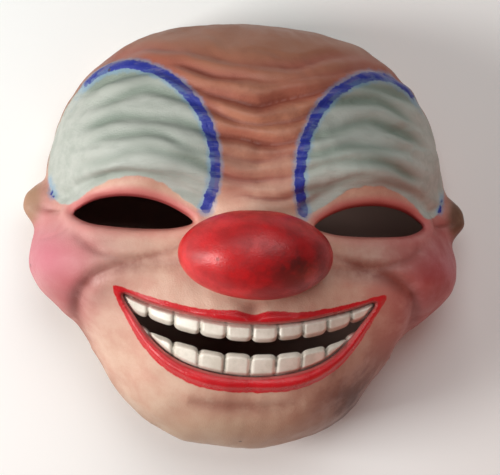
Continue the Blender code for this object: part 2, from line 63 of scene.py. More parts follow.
lens = bpy.data.cameras.new("photo_camera")
lens.sensor_width = SENSOR_WIDTH
way = Vector(CAMERA_AIM) - Vector(CAMERA_PLACE)
lens.lens = SENSOR_WIDTH * way.length / FRAME_WIDTH
camera = bpy.data.objects.new("photo_camera", lens)
camera.location = CAMERA_PLACE
up = -way.normalized()
across = Vector((math.cos(CAMERA_ROLL), math.sin(CAMERA_ROLL), 0))
across = (across - across.dot(up) * up).normalized()
camera.rotation_euler = Matrix((across, up.cross(across), up)).transposed().to_euler()
bpy.context.scene.collection.objects.link(camera)
bpy.context.scene.camera = camera
print("the lens is", round(lens.lens, 1), "mm long")

# %% [markdown]
# ## The sizes of the face
#
# Every length here is the frame's own, in metres, and the tables hold shares of those lengths. The
# skin, the nose and the teeth all read them, so they meet where the solids meet.

# %% Name the sizes
HALF_WIDTH = 0.100
HALF_HEIGHT = 0.0965
FACE_DEPTH = 0.074
RIM_SKIRT = 0.014
DOME_POWER = 2.7
WALL = 0.0022
RELIEF = 0.010

EYE_SPACING = 0.106
EYE_LEVEL = 0.0064
EYE_HALF_WIDTH = 0.0262
EYE_HALF_HEIGHT = 0.0078

MOUTH_LEVEL = -0.0300
MOUTH_HALF_WIDTH = 0.0560
MOUTH_DROP = 0.0330
UPPER_LIP_HEIGHT = 0.0032
LOWER_LIP_HEIGHT = 0.0044
LIP_ROLL_IN = 0.0010

NOSE_LEVEL = -0.0095
NOSE_HALF_WIDTH = 0.0335
NOSE_HALF_HEIGHT = 0.0192
NOSE_REACH = 0.0280
NOSE_WALL = 0.0020
NOSE_UNDERCUT = math.radians(24)
NOSE_SEAT_WIDTH = 0.0070

EAR_LEVEL = 0.0110
EAR_HEIGHT = 0.0270
EAR_REACH = 0.0110
EAR_HALF_LENGTH = 0.0090
EAR_HALF_THICKNESS = 0.0062

# %% [markdown]
# ## The outlines and forms, as tables
#
# A sculptor blocks out a face with a few big masses before cutting any line. The rim's reach, the
# masses and the openings are short tables of shares; smooth curves through their rows do the rest.

# %% Chart the forms
OUTLINE = (
    # angle, reach
    (-90, 0.975),
    (-75, 0.978),
    (-60, 0.932),
    (-45, 0.885),
    (-30, 0.868),
    (-15, 0.905),
    (0, 0.935),
    (15, 0.970),
    (30, 1.025),
    (45, 1.055),
    (60, 1.060),
    (75, 1.032),
    (90, 1.020),
)
FORMS = (
    # x, y, width, length, height
    (0.00, 0.56, 0.62, 0.34, 0.35),
    (0.46, 0.32, 0.34, 0.13, 0.75),
    (0.00, 0.22, 0.16, 0.16, 0.10),
    (0.52, 0.07, 0.30, 0.12, -1.00),
    (0.82, 0.30, 0.16, 0.24, -0.25),
    (0.77, -0.14, 0.24, 0.19, 1.45),
    (0.00, -0.10, 0.30, 0.26, 0.55),
    (0.00, -0.52, 0.50, 0.28, 1.35),
    (0.00, -0.86, 0.32, 0.15, 0.95),
    (0.42, -0.78, 0.26, 0.20, 0.45),
    (0.74, -0.42, 0.20, 0.22, 0.30),
)
EYE_LOOP = (
    # x, y
    (-1.00, -0.35),
    (-0.72, 0.34),
    (-0.34, 0.82),
    (0.12, 1.00),
    (0.56, 0.80),
    (0.86, 0.34),
    (1.00, -0.16),
    (0.72, -0.62),
    (0.26, -0.78),
    (-0.26, -0.82),
    (-0.70, -0.72),
)
MOUTH_LOOP = (
    # x, y
    (0.00, -0.290),
    (0.20, -0.275),
    (0.40, -0.230),
    (0.60, -0.165),
    (0.80, -0.080),
    (1.00, 0.020),
    (0.890, -0.290),
    (0.745, -0.590),
    (0.550, -0.820),
    (0.290, -0.955),
    (0.00, -1.000),
)
LIP_LOOP = (
    # x, y
    (0.00, -0.165),
    (0.13, -0.110),
    (0.36, -0.115),
    (0.62, -0.050),
    (0.86, 0.045),
    (1.08, 0.135),
    (1.000, -0.200),
    (0.870, -0.570),
    (0.680, -0.910),
    (0.390, -1.150),
    (0.00, -1.215),
)
FOLDS = (
    # width, depth, line
    (0.034, 0.28, ((0.29, -0.15), (0.44, -0.16), (0.60, -0.18), (0.73, -0.27), (0.77, -0.42), (0.70, -0.58))),
    (0.030, 0.20, ((0.26, -0.78), (0.16, -0.795), (0.00, -0.80), (-0.16, -0.795), (-0.26, -0.78))),
    (0.022, 0.15, ((0.27, -0.03), (0.38, -0.10), (0.53, -0.135), (0.69, -0.10), (0.79, -0.02))),
    (0.018, 0.10, ((0.83, 0.13), (0.90, 0.16), (0.95, 0.22))),
    (0.018, 0.10, ((0.84, 0.07), (0.91, 0.07), (0.97, 0.09))),
    (0.045, 0.14, ((0.00, -0.31), (0.00, -0.35), (0.00, -0.39))),
)
FURROWS = (
    # level, arch, depth, width
    (0.150, 0.110, 0.09, 0.024),
    (0.235, 0.115, 0.16, 0.030),
    (0.315, 0.110, 0.12, 0.026),
    (0.395, 0.125, 0.22, 0.032),
    (0.485, 0.150, 0.17, 0.029),
    (0.580, 0.145, 0.27, 0.036),
    (0.680, 0.115, 0.16, 0.032),
    (0.775, 0.075, 0.13, 0.038),
)
BROW_ARCH_PLACE = 0.50
BROW_ARCH_WIDTH = 0.30
FURROW_REACH = 0.84

# %% [markdown]
# ## Curves and distances
#
# A curve through chosen points could be a Blender curve, but the skin has to know how far each of its
# points lies from that curve, to raise a lip or to end a coat of paint there. So the curves are
# worked out with numpy, and the distance to them is worked out for all points at once.

# %% Write the curve helpers
LOOP_POINTS = 96


def smooth_step(low, high, value):
    """0 below low, 1 above high, and the cubic 3t^2 - 2t^3 between."""
    t = np.clip((value - low) / (high - low), 0, 1)
    return t * t * (3 - 2 * t)


def through(a, b, c, d, t):
    """Catmull-Rom curve between b and c, where t runs from 0 to 1: b plus half of t(c - a), plus half
    of t^2 (2a - 5b + 4c - d), plus half of t^3 (3(b - c) + d - a)."""
    return b + 0.5 * t * (c - a + t * (2 * a - 5 * b + 4 * c - d + t * (3 * (b - c) + d - a)))


def smooth_rows(at, rows):
    """A smooth curve through evenly spaced rows of (key, value), level at both ends."""
    keys, values = np.array(rows, float).T
    values = np.concatenate([values[1:2], values, values[-2:-1]])
    step = (np.clip(at, keys[0], keys[-1]) - keys[0]) / (keys[1] - keys[0])
    first = np.minimum(step.astype(int), len(keys) - 2)
    return through(*(values[first + i] for i in range(4)), step - first)


def smooth_line(points, count, closed=False):
    """Points on the smooth curve through the given ones, as many in each span."""
    points = np.array(points, float)
    if closed:
        points = np.concatenate([points[-1:], points, points[:2]])
    else:
        points = np.concatenate([2 * points[:1] - points[1:2], points, 2 * points[-1:] - points[-2:-1]])
    spans = len(points) - 3
    at = np.linspace(0, spans, count, endpoint=not closed)
    first = np.minimum(at.astype(int), spans - 1)
    return through(*(points[first + i] for i in range(4)), (at - first)[:, None])


def distance_to_line(x, y, line, closed=False):
    """Distance of each place (x, y) from a line of points, and the share of the line's length at which
    the nearest point lies. The nearest point of a segment is its start plus the run times the clipped
    projection on the run. Inside a closed line, told by counting crossings, the distance is negative."""
    starts, ends = line, np.roll(line, -1, axis=0)
    if not closed:
        starts, ends = starts[:-1], ends[:-1]
    nearest = np.full(x.shape, np.inf)
    along = np.zeros(x.shape)
    crossings = np.zeros(x.shape, int)
    for number, (start, end) in enumerate(zip(starts, ends)):
        run = end - start
        share = np.clip(((x - start[0]) * run[0] + (y - start[1]) * run[1]) / (run @ run), 0, 1)
        away = np.hypot(x - start[0] - share * run[0], y - start[1] - share * run[1])
        along = np.where(away < nearest, (number + share) / len(starts), along)
        nearest = np.minimum(nearest, away)
        if closed and run[1]:
            crosses = (start[1] > y) != (end[1] > y)
            crossings += crosses & (x < start[0] + (y - start[1]) * run[0] / run[1])
    return np.where(crossings % 2 == 1, -nearest, nearest), along


def whole_loop(half_loop):
    """The closed curve round the mouth from its right half, in metres."""
    right = np.array(half_loop, float)
    left = right[-2:0:-1] * (-1, 1)
    shares = np.concatenate([right, left])
    return smooth_line(shares * (MOUTH_HALF_WIDTH, MOUTH_DROP) + (0, MOUTH_LEVEL), LOOP_POINTS, closed=True)


mouth_line = whole_loop(MOUTH_LOOP)
lip_line = whole_loop(LIP_LOOP)
eye_middle = np.array([EYE_SPACING / 2, EYE_LEVEL])
eye_line = np.array(EYE_LOOP) * (EYE_HALF_WIDTH, EYE_HALF_HEIGHT) + eye_middle
eye_line = smooth_line(eye_line, LOOP_POINTS, closed=True)
print("the mouth opens", np.round(1000 * np.ptp(mouth_line, axis=0), 1), "mm")

# %% [markdown]
# ## The face as a surface of two parameters
#
# Moulded latex has no edges of its own: the face is one skin stretched over forms. It could be pushed
# about by hand in sculpt mode, but a formula can be read and changed. A dome is raised by the big
# masses along its own normals, and the result is raised again by lips, lids, folds and furrows, so
# that a fold on a steep cheek still stands square to the cheek.

# %% Raise the dome and its masses
SMALL_STEP = 1e-4


def rim_reach(angle):
    """Reach of the dome's foot at each angle, as a share, mirrored to the left side."""
    return smooth_rows(np.degrees(np.arcsin(np.clip(np.sin(angle), -1, 1))), OUTLINE)


def dome(u, v):
    """The plain dome. With r the distance of (u, v) from the middle, a point lies at sin(r pi / 2) of
    the rim's reach, as high as the square root of 1 - sin(r pi / 2)^p, and past r = 1 the wall drops."""
    run = np.hypot(u, v)
    angle = np.arctan2(v, u)
    spread = np.sin(np.minimum(run, 1) * math.pi / 2)
    height = RIM_SKIRT + (FACE_DEPTH - RIM_SKIRT) * np.sqrt(1 - spread**DOME_POWER)
    height = height - np.maximum(run - 1, 0) * FACE_DEPTH
    reach = rim_reach(angle) * spread
    return np.stack([HALF_WIDTH * reach * np.cos(angle), HALF_HEIGHT * reach * np.sin(angle), height], axis=-1)


def normals_of(surface, u, v):
    """Unit normals: the cross product of the surface's differences along u and along v."""
    across = surface(u + SMALL_STEP, v) - surface(u - SMALL_STEP, v)
    up = surface(u, v + SMALL_STEP) - surface(u, v - SMALL_STEP)
    normal = np.cross(across, up)
    return normal / np.maximum(np.linalg.norm(normal, axis=-1, keepdims=True), 1e-20)


def raised(surface, height, u, v):
    """The surface plus its unit normal times the height of each of its points."""
    points = surface(u, v)
    return points + normals_of(surface, u, v) * height(points)[..., None]


def form_height(points):
    """Sum of bell curves, share times exp(-dx^2 - dy^2), fading out on the skirt, plus the flat-topped
    bell of each ear stub on the side wall."""
    x = np.abs(points[..., 0]) / HALF_WIDTH
    y = points[..., 1] / HALF_HEIGHT
    height = sum(
        share * RELIEF * np.exp(-(((x - at_x) / width) ** 2) - ((y - at_y) / length) ** 2)
        for at_x, at_y, width, length, share in FORMS
    )
    height *= smooth_step(0.8 * RIM_SKIRT, 2 * RIM_SKIRT, points[..., 2])
    across = np.abs(points[..., 1] - EAR_LEVEL) / EAR_HALF_LENGTH
    deep = np.abs(points[..., 2] - EAR_HEIGHT) / EAR_HALF_THICKNESS
    return height + EAR_REACH * np.exp(-(across**2.6) - deep**2.2)


def formed(u, v):
    """The dome raised by the masses."""
    return raised(dome, form_height, u, v)


# %% [markdown]
# ## Lips, lids, furrows and folds
#
# These are the lines that make the face smile. Each is a profile across a curve: a lip is a half wave
# between the opening and the lip's border, a lid is a small bell beside the eye, and a furrow is a
# valley between two soft ridges. The furrows arch over each eye, as on a raised brow.

# %% Raise the features
def lip_height(x, y):
    """Crest times sin^2 of the share of the way from the opening to the lip's border."""
    from_opening, _ = distance_to_line(x, y, mouth_line, closed=True)
    from_edge, _ = distance_to_line(x, y, lip_line, closed=True)
    inner, outer = np.maximum(from_opening, 0), np.maximum(-from_edge, 0)
    across = np.clip(inner / np.maximum(inner + outer, 1e-9), 0, 1)
    upper = smooth_step(MOUTH_LEVEL - MOUTH_DROP * 0.75, MOUTH_LEVEL - MOUTH_DROP * 0.35, y)
    crest = LOWER_LIP_HEIGHT + (UPPER_LIP_HEIGHT - LOWER_LIP_HEIGHT) * upper
    crest = crest * smooth_step(0, 0.16, (inner + outer) / HALF_WIDTH)
    return crest * np.sin(math.pi * across**0.85) ** 2 - LIP_ROLL_IN * (1 - smooth_step(0, 0.5, across))


def eyelid_height(x, y):
    """A bell beside the opening for the roll of the lid, less a bell further out for its crease."""
    away, _ = distance_to_line(np.abs(x), y, eye_line, closed=True)
    upper = smooth_step(-0.2 * EYE_HALF_HEIGHT, EYE_HALF_HEIGHT, y - EYE_LEVEL)
    roll = 0.17 * np.exp(-(((away / HALF_WIDTH - 0.030) / 0.026) ** 2))
    crease = 0.16 * upper * np.exp(-(((away / HALF_WIDTH - 0.088) / 0.024) ** 2))
    return RELIEF * (roll - crease)


def furrow_shape(x, y, ridge=0.55):
    """For every furrow a valley exp(-d^1.5) with a rounded floor, d being the distance from its arched
    line in widths, with a ridge on both sides; positive is up. Slow sine waves along the furrow shift
    it and fade it in and out, so no two run alike."""
    side = np.abs(x) / HALF_WIDTH
    over_eye = np.exp(-(((side - BROW_ARCH_PLACE) / BROW_ARCH_WIDTH) ** 2))
    height = np.zeros(x.shape)
    for number, (level, arch, depth, width) in enumerate(FURROWS):
        shift = 0.011 * np.sin(90 * x + 1.9 * number) + 0.006 * np.sin(230 * x + 4.1 * number)
        strength = 0.85 + 0.30 * np.sin(75 * x + 2.7 * number)
        off = np.abs(y / HALF_HEIGHT - arch * over_eye - level + shift) / width
        height += strength * depth * (ridge * np.exp(-((off - 1.35) ** 2)) - np.exp(-((off**2 + 0.03) ** 0.75)))
    return height * (1 - smooth_step(FURROW_REACH - 0.2, FURROW_REACH, side))


def fold_shape(x, y):
    """For every fold a valley exp(-d^1.8) along its curve, shallower towards the curve's ends."""
    height = np.zeros(x.shape)
    for width, depth, line in FOLDS:
        away, along = distance_to_line(np.abs(x), y, smooth_line(np.array(line) * (HALF_WIDTH, HALF_HEIGHT), 24))
        fade = np.clip(4 * along * (1 - along), 0, 1) ** 0.6
        height -= depth * fade * np.exp(-((away / HALF_WIDTH / width) ** 1.8))
    return height


FINE_LINES = (
    # count, lowest, highest, half spread, half length, tilt
    (26, 0.24, 0.86, 0.62, 0.20, 0.05),
    (6, -0.06, 0.03, 0.86, 0.10, -0.30),
    (7, 0.12, 0.22, 0.14, 0.09, 0.00),
)


def fine_lines(points, seed=21):
    """Short shallow wrinkles between the furrows, at random places inside the bands of the table. Each
    is a valley exp(-d^2) across and exp(-s^4) along, d and s being the distances in half widths and in
    half lengths."""
    x, y = points[..., 0] / HALF_WIDTH, points[..., 1] / HALF_HEIGHT
    draw = np.random.default_rng(seed)
    height = np.zeros(x.shape)
    for count, lowest, highest, spread, length, tilt in FINE_LINES:
        for _ in range(count):
            middle, level = draw.uniform(-spread, spread), draw.uniform(lowest, highest)
            reach, width = length * draw.uniform(0.6, 1.4), draw.uniform(0.008, 0.014)
            away = x - middle
            bend = tilt * np.sign(middle) * away + 0.010 * np.sin(22 * x + 9 * level) + 0.30 * away**2
            off = (y - level - bend) / width
            height -= draw.uniform(0.3, 1.0) * np.exp(-(off**2) - (away / reach) ** 4)
    return 0.0005 * height


def detail_height(points):
    """All the features together, fading out on the skirt."""
    x, y = points[..., 0], points[..., 1]
    height = lip_height(x, y) + eyelid_height(x, y) + RELIEF * (furrow_shape(x, y) + fold_shape(x, y))
    return height * smooth_step(RIM_SKIRT, 2 * RIM_SKIRT, points[..., 2])


# %% [markdown]
# ## The unevenness of a hand-made mould
#
# Bump alone would leave the outline too clean. A sum of sine waves that run in random directions gives
# soft lumps a few millimetres to a few centimetres wide, and the seed keeps them the same each time.

# %% Add the lumps
def lumps(points, seed, height=0.00022, longest=0.030, waves=26):
    """Mean of sine waves of the place, each with a random direction and phase and a wavelength from a
    fifth of the longest one up, higher where it is longer."""
    draw = np.random.default_rng(seed)
    total = np.zeros(points.shape[:-1])
    for _ in range(waves):
        way = draw.normal(size=3)
        length = longest * draw.uniform(0.2, 1.0)
        turn = points @ (way / np.linalg.norm(way)) * 2 * math.pi / length
        total += np.sin(turn + draw.uniform(0, 2 * math.pi)) * length / longest
    return height * total / math.sqrt(waves / 6)


def face(u, v):
    """The whole outer skin."""
    return raised(formed, lambda points: detail_height(points) + fine_lines(points) + lumps(points, 3), u, v)


# %% [markdown]
# ## Making meshes from arrays
#
# Grids and rings of points become meshes here. A loop over vertices in Python would be slow, so the
# faces are worked out as one array of indices. A ring mesh closes round each ring and along the rings,
# and its ends are capped; doubles at a pole are merged before the faces are turned outwards.

# %% Write the mesh helpers
def mesh_object(name, points, faces):
    """A new object from arrays of points and faces."""
    mesh = bpy.data.meshes.new(name)
    mesh.from_pydata(np.reshape(points, (-1, 3)).tolist(), [], faces)
    obj = bpy.data.objects.new(name, mesh)
    bpy.context.scene.collection.objects.link(obj)
    return obj


def grid_faces(rows, columns, wrap=False):
    """Four indices for each cell of a grid of points kept row by row, counterclockwise."""
    row, column = np.meshgrid(np.arange(rows - 1), np.arange(columns if wrap else columns - 1), indexing="ij")
    after = (column + 1) % columns
    corners = [row * columns + column, row * columns + after]
    corners += [(row + 1) * columns + after, (row + 1) * columns + column]
    return np.stack([corner.ravel() for corner in corners], axis=1).tolist()


def tidy_faces(obj, merge=1e-6):
    """Merges doubles, then turns all faces outwards."""
    shape = bmesh.new()
    shape.from_mesh(obj.data)
    bmesh.ops.remove_doubles(shape, verts=shape.verts, dist=merge)
    bmesh.ops.recalc_face_normals(shape, faces=shape.faces)
    shape.to_mesh(obj.data)
    shape.free()
    return obj


def ring_object(name, rings, caps=True):
    """A closed body from rings of points, an array of rings, points and coordinates."""
    count, around = rings.shape[:2]
    faces = grid_faces(count, around, wrap=True)
    if caps:
        last = (count - 1) * around
        faces += [list(range(around))[::-1], list(range(last, last + around))]
    return tidy_faces(mesh_object(name, rings, faces))


def smooth(obj, angle=40):
    """Shades smooth, apart from edges sharper than the angle."""
    obj.data.shade_smooth()
    obj.data.set_sharp_from_angle(angle=math.radians(angle))
    return obj


def carve(obj, cutter):
    """Cuts the cutter's body out of the object and removes the cutter."""
    boolean = obj.modifiers.new("carve", "BOOLEAN")
    boolean.operation = "DIFFERENCE"
    boolean.solver = "EXACT"
    boolean.object = cutter
    boolean.material_mode = "INDEX"
    graph = bpy.context.evaluated_depsgraph_get()
    carved = bpy.data.meshes.new_from_object(obj.evaluated_get(graph))
    obj.modifiers.clear()
    plain, obj.data = obj.data, carved
    bpy.data.meshes.remove(plain)
    bpy.data.objects.remove(cutter)
    return obj


# %% [markdown]
# ## The skin as a solid
#
# The mould shapes the outside sharply, while the inside, where the latex was poured, is softer. So the
# outer skin is a fine grid over the whole face, and the inside is a coarser one that follows half of
# the relief. The grid's lines crowd towards the middle, where the eyes and the lips are. The inner
# body is cut out of the outer one, and then the holes are cut in one go.

# %% Build the outer body and the inner body
SKIN_GRID = 276
INSIDE_GRID = 110
CROWDING = 0.30
PAINTED, BARE = 0, 1


def bowl(name, surface, count, foot, side):
    """A closed body: the surface over a square grid bent into a disk, u = a sqrt(1 - b^2 / 2) and
    v = b sqrt(1 - a^2 / 2), with one flat face under its foot."""
    even = np.linspace(-1, 1, count + 1)
    b, a = np.meshgrid(*[(1 - CROWDING) * even + CROWDING * even**3] * 2, indexing="ij")
    u = a * np.sqrt(1 - b**2 / 2) * foot
    v = b * np.sqrt(1 - a**2 / 2) * foot
    number = np.arange((count + 1) ** 2).reshape(count + 1, -1)
    border = np.concatenate([number[0, :-1], number[:-1, -1], number[-1, :0:-1], number[:0:-1, 0]])
    obj = mesh_object(name, surface(u, v), grid_faces(count + 1, count + 1) + [border[::-1].tolist()])
    obj.data.polygons.foreach_set("material_index", np.full(len(obj.data.polygons), side, np.int32))
    return obj


def inside_face(u, v):
    """The masses raised by half of the features, less the wall."""
    return raised(formed, lambda points: 0.5 * detail_height(points) - WALL, u, v)


below_rim = 1 + (RIM_SKIRT + 2 * WALL) / FACE_DEPTH
skin = bowl("latex_face", face, SKIN_GRID, below_rim, PAINTED)
hollow = bowl("hollow", inside_face, INSIDE_GRID, below_rim + WALL / FACE_DEPTH, BARE)
print("the outer skin has", len(skin.data.vertices), "points")

# %% [markdown]
# ## Where the pieces pass through the skin
#
# The solids have eye holes, a mouth, a hole behind the nose, and a small hole for each rivet. The
# rivet's frame is found again from the rim's outline: its middle lies on the wall at the ears' level,
# and its axis is the way out of the wall there.

# %% Find the strap's line and the rivets
STRAP_WIDTH = 0.0120
STRAP_LIFT = 0.0006
STRAP_THICKNESS = 0.0012
STRAP_END = 0.0080
STRAP_SLACK = 0.0070
RIVET_HEAD_RADIUS = 0.0036
RIVET_HEAD_THICKNESS = 0.0010
RIVET_HEAD_CROWN = 0.0005
RIVET_SHANK_RADIUS = 0.0014
SEAT_GAP = 0.0003
SHANK_CLEARANCE = 0.0003


def rim_angle(level):
    """Angle round the rim, on the right side, at which it passes this level."""
    angles = np.linspace(-math.pi / 2, math.pi / 2, 721)
    return np.interp(level, HALF_HEIGHT * rim_reach(angles) * np.sin(angles), angles)


def skirt_line(angles):
    """Places round the skirt's outer side, and the way out of the wall: the line's run turned by a
    quarter."""
    reach = rim_reach(angles)
    line = np.stack([HALF_WIDTH * reach * np.cos(angles), HALF_HEIGHT * reach * np.sin(angles)], axis=-1)
    along = np.gradient(line, axis=0)
    along /= np.linalg.norm(along, axis=1, keepdims=True)
    return line, np.stack([along[:, 1], -along[:, 0]], axis=-1)


def turned(side, profile, around=40):
    """Rings about a rivet's axis: for each (radius, height) of the profile, the rivet's place plus
    height along its axis plus radius times the cosine and sine of the turn across it."""
    line, outward = skirt_line(rim_angle(EAR_LEVEL) + np.linspace(-0.01, 0.01, 3))
    place = np.array([side * line[1, 0], line[1, 1], STRAP_LIFT + STRAP_WIDTH / 2])
    axis = np.array([side * outward[1, 0], outward[1, 1], 0])
    across = np.array([-axis[1], axis[0], 0])
    turn = np.linspace(0, 2 * math.pi, around, endpoint=False)[:, None]
    ring = np.cos(turn) * across + np.sin(turn) * (0, 0, 1)
    radius, height = np.array(profile, float).T
    return place + height[:, None, None] * axis + radius[:, None, None] * ring


def prism(name, line, bottom, top):
    """A straight body on a closed outline."""
    rings = [np.column_stack([line, np.full(len(line), level)]) for level in (bottom, top)]
    return ring_object(name, np.array(rings))


# %% Cut the hollow, the rim and the holes
PRISM_FOOT = 0.020
PRISM_TOP = 0.150
HOLE_REACH = 0.008
turn = np.linspace(0, 2 * math.pi, 64, endpoint=False)
seat_shares = (NOSE_HALF_WIDTH * math.cos(NOSE_UNDERCUT) - NOSE_SEAT_WIDTH,
               NOSE_HALF_HEIGHT * math.cos(NOSE_UNDERCUT) - NOSE_SEAT_WIDTH)
nose_hole = np.stack([np.cos(turn), np.sin(turn)], axis=1) * seat_shares + (0, NOSE_LEVEL)
square = np.array([(-1, -1), (1, -1), (1, 1), (-1, 1)]) * 2 * HALF_WIDTH
hole_radius = RIVET_SHANK_RADIUS + SHANK_CLEARANCE


def rivet_hole(side):
    """A cutter along the rivet's axis."""
    return ring_object("rivet_hole", turned(side, [(hole_radius, HOLE_REACH), (hole_radius, -HOLE_REACH)]))


def joined(objects):
    """One object of several."""
    with bpy.context.temp_override(active_object=objects[0], selected_editable_objects=objects):
        bpy.ops.object.join()
    return objects[0]


def face_sides(obj, side):
    """Gives all faces one side's material number."""
    obj.data.polygons.foreach_set("material_index", np.full(len(obj.data.polygons), side, np.int32))
    return obj


cutters = [
    prism("below_rim", square, -HALF_WIDTH, 0),
    prism("mouth_hole", mouth_line, PRISM_FOOT, PRISM_TOP),
    prism("right_eye_hole", eye_line, PRISM_FOOT, PRISM_TOP),
    prism("left_eye_hole", eye_line * (-1, 1), PRISM_FOOT, PRISM_TOP),
    prism("nose_hole", nose_hole, PRISM_FOOT, PRISM_TOP),
    rivet_hole(-1),
    rivet_hole(1),
]
blank = [bpy.data.materials.new(name) for name in ("painted_latex", "bare_latex")]
cutter = face_sides(joined(cutters), BARE)
for obj in (skin, hollow, cutter):
    obj.data.materials.clear()
    for material in blank:
        obj.data.materials.append(material)
carve(skin, hollow)
carve(skin, cutter)
painted_latex, bare_latex = blank
print("the carved skin has", len(skin.data.polygons), "faces")

# %% [markdown]
# ## Rounding the cut edges
#
# A knife leaves a square edge, but lips and lids are moulded round. The carved skin has points exactly
# on each outline, so every painted point near one is sunk by the drop of a quarter circle.

# %% Round the lips and the lids
EDGE_RADIUS = 0.0014


def side_of_points(obj, side):
    """Which points belong to a face with this material number."""
    mesh = obj.data
    numbers = np.empty(len(mesh.polygons), np.int32)
    mesh.polygons.foreach_get("material_index", numbers)
    totals = np.empty(len(mesh.polygons), np.int32)
    mesh.polygons.foreach_get("loop_total", totals)
    corners = np.empty(len(mesh.loops), np.int32)
    mesh.loops.foreach_get("vertex_index", corners)
    chosen = np.zeros(len(mesh.vertices), bool)
    chosen[corners[np.repeat(numbers == side, totals)]] = True
    return chosen


def points_of(obj):
    """The object's points as an array."""
    flat = np.empty(len(obj.data.vertices) * 3, np.float32)
    obj.data.vertices.foreach_get("co", flat)
    return flat.reshape(-1, 3).astype(float)


def outward_at(obj):
    """The object's point normals as an array."""
    flat = np.empty(len(obj.data.vertices) * 3, np.float32)
    obj.data.vertex_normals.foreach_get("vector", flat)
    return flat.reshape(-1, 3).astype(float)


points = points_of(skin)
painted = side_of_points(skin, PAINTED)
x, y = points[:, 0], points[:, 1]
from_mouth, _ = distance_to_line(x, y, mouth_line, closed=True)
from_eye, _ = distance_to_line(np.abs(x), y, eye_line, closed=True)
edge = np.clip(1 - np.minimum(np.abs(from_mouth), np.abs(from_eye)) / EDGE_RADIUS, 0, 1)
drop = EDGE_RADIUS * (1 - np.sqrt(1 - edge**2)) * painted
points[:, 2] -= drop
skin.data.vertices.foreach_set("co", points.astype(np.float32).ravel())
skin.data.update()
print("rounded", int((drop > 0).sum()), "points by up to", round(1000 * drop.max(), 2), "mm")

# %% [markdown]
# ## Charting the make-up
#
# The make-up is a generic clown's: white arches from the upper lids to the raised brows, each edged
# with a blue line, red lips, pink lids and round pink cheeks. A painted picture would need a texture.
# Here each coat is a number at every point instead, the distance to its edge in millimetres, and the
# material turns that into a hand-painted edge. So the coats stay sharp however coarse the mesh is.

# %% Work out the distance to each coat's edge
WHITE_LOOP = (
    # x, y
    (0.215, 0.10),
    (0.185, 0.24),
    (0.205, 0.42),
    (0.285, 0.59),
    (0.42, 0.715),
    (0.57, 0.765),
    (0.715, 0.73),
    (0.83, 0.61),
    (0.905, 0.44),
    (0.925, 0.27),
    (0.895, 0.14),
    (0.815, 0.10),
    (0.70, 0.185),
    (0.56, 0.235),
    (0.42, 0.215),
    (0.305, 0.135),
)
BLUE_ROWS = 11
BLUE_HALF_WIDTH = 2.7
MM = 1000.0


def mark(obj, name, values):
    """Keeps one number for each point under a name that materials can read."""
    obj.data.attributes.new(name, "FLOAT", "POINT").data.foreach_set("value", values.astype(np.float32))


def bend_of(obj, reach=0.004, rounds=3):
    """How hollow the surface is at each point: the mean over its edges of the neighbour's height over
    the tangent plane, divided by the edge's squared length and times the reach, averaged with the
    neighbours a few times. It is positive in a valley and negative on a ridge."""
    points, normals = points_of(obj), outward_at(obj)
    edges = np.empty(len(obj.data.edges) * 2, np.int32)
    obj.data.edges.foreach_get("vertices", edges)
    one, two = edges.reshape(-1, 2).T
    one, two = np.concatenate([one, two]), np.concatenate([two, one])
    run = points[two] - points[one]
    rise = (run * normals[one]).sum(1) / np.maximum((run * run).sum(1), 1e-8)
    count = np.maximum(np.bincount(one, minlength=len(points)), 1)
    bend = np.bincount(one, rise, len(points)) / count
    for _ in range(rounds):
        bend = 0.4 * bend + 0.6 * np.bincount(one, bend[two], len(points)) / count
    return np.clip(bend * reach * 2, -1, 1)


BLUE_FOOT = 0.034
white_line = smooth_line(np.array(WHITE_LOOP) * (HALF_WIDTH, HALF_HEIGHT), 128, closed=True)
blue_line = smooth_line(np.array(WHITE_LOOP[:BLUE_ROWS]) * (HALF_WIDTH, HALF_HEIGHT), 72)
side, level = np.abs(points[:, 0]), points[:, 1]
face_side = smooth_step(RIM_SKIRT, 1.6 * RIM_SKIRT, points[:, 2])
to_white, _ = distance_to_line(side, level, white_line, closed=True)
to_blue, along_blue = distance_to_line(side, level, blue_line)
to_lips, _ = distance_to_line(points[:, 0], level, lip_line, closed=True)
blue_taper = 1 - 0.55 * smooth_step(0.55, 1.0, along_blue)
mark(skin, "white_mm", -MM * to_white)
below_arch = np.maximum(0, BLUE_FOOT - points[:, 2])
mark(skin, "blue_mm", BLUE_HALF_WIDTH * blue_taper - MM * (to_blue + 0.5 * below_arch))
mark(skin, "lips_mm", -MM * to_lips)
mark(skin, "mouth_mm", MM * from_mouth)
mark(skin, "lid_mm", MM * from_eye)
mark(skin, "upper_lid", smooth_step(-0.6 * EYE_HALF_HEIGHT, 0.5 * EYE_HALF_HEIGHT, level - EYE_LEVEL))
share_x, share_y = side / HALF_WIDTH, level / HALF_HEIGHT
cheek = np.exp(-(((share_x - 0.93) / 0.30) ** 2) - ((share_y + 0.15) / 0.27) ** 2)
blush = np.exp(-(((share_x - 0.80) / 0.10) ** 2) - ((share_y + 0.33) / 0.15) ** 2)
mark(skin, "cheek", cheek * face_side)
mark(skin, "blush", blush * face_side)
mark(skin, "brow", smooth_step(0.10, 0.62, share_y + 0.10 * (1 - share_x)))
mark(skin, "jaw", smooth_step(0.66, 1.02, -share_y) + 0.5 * (1 - face_side))
# Painted shade: the lower right of the face is tinted red-brown, as it lies in warm shade.
right_shade = smooth_step(0.25, 1.05, points[:, 0] / HALF_WIDTH) * (1 - smooth_step(-0.05, 0.25, share_y))
mark(skin, "right_shade", right_shade)
# Painted shade: the right of the jaw and the right ear turn dark brown, as they lie in shade.
shaded_right_side = smooth_step(0.14, 0.52, points[:, 0] / HALF_WIDTH) * (1 - smooth_step(-0.80, -0.35, share_y))
ear = np.exp(-(((share_x - 1.02) / 0.085) ** 2) - ((level - EAR_LEVEL) / 0.015) ** 2)
right_ear = smooth_step(0.15, 0.65, ear) * (points[:, 0] > 0)
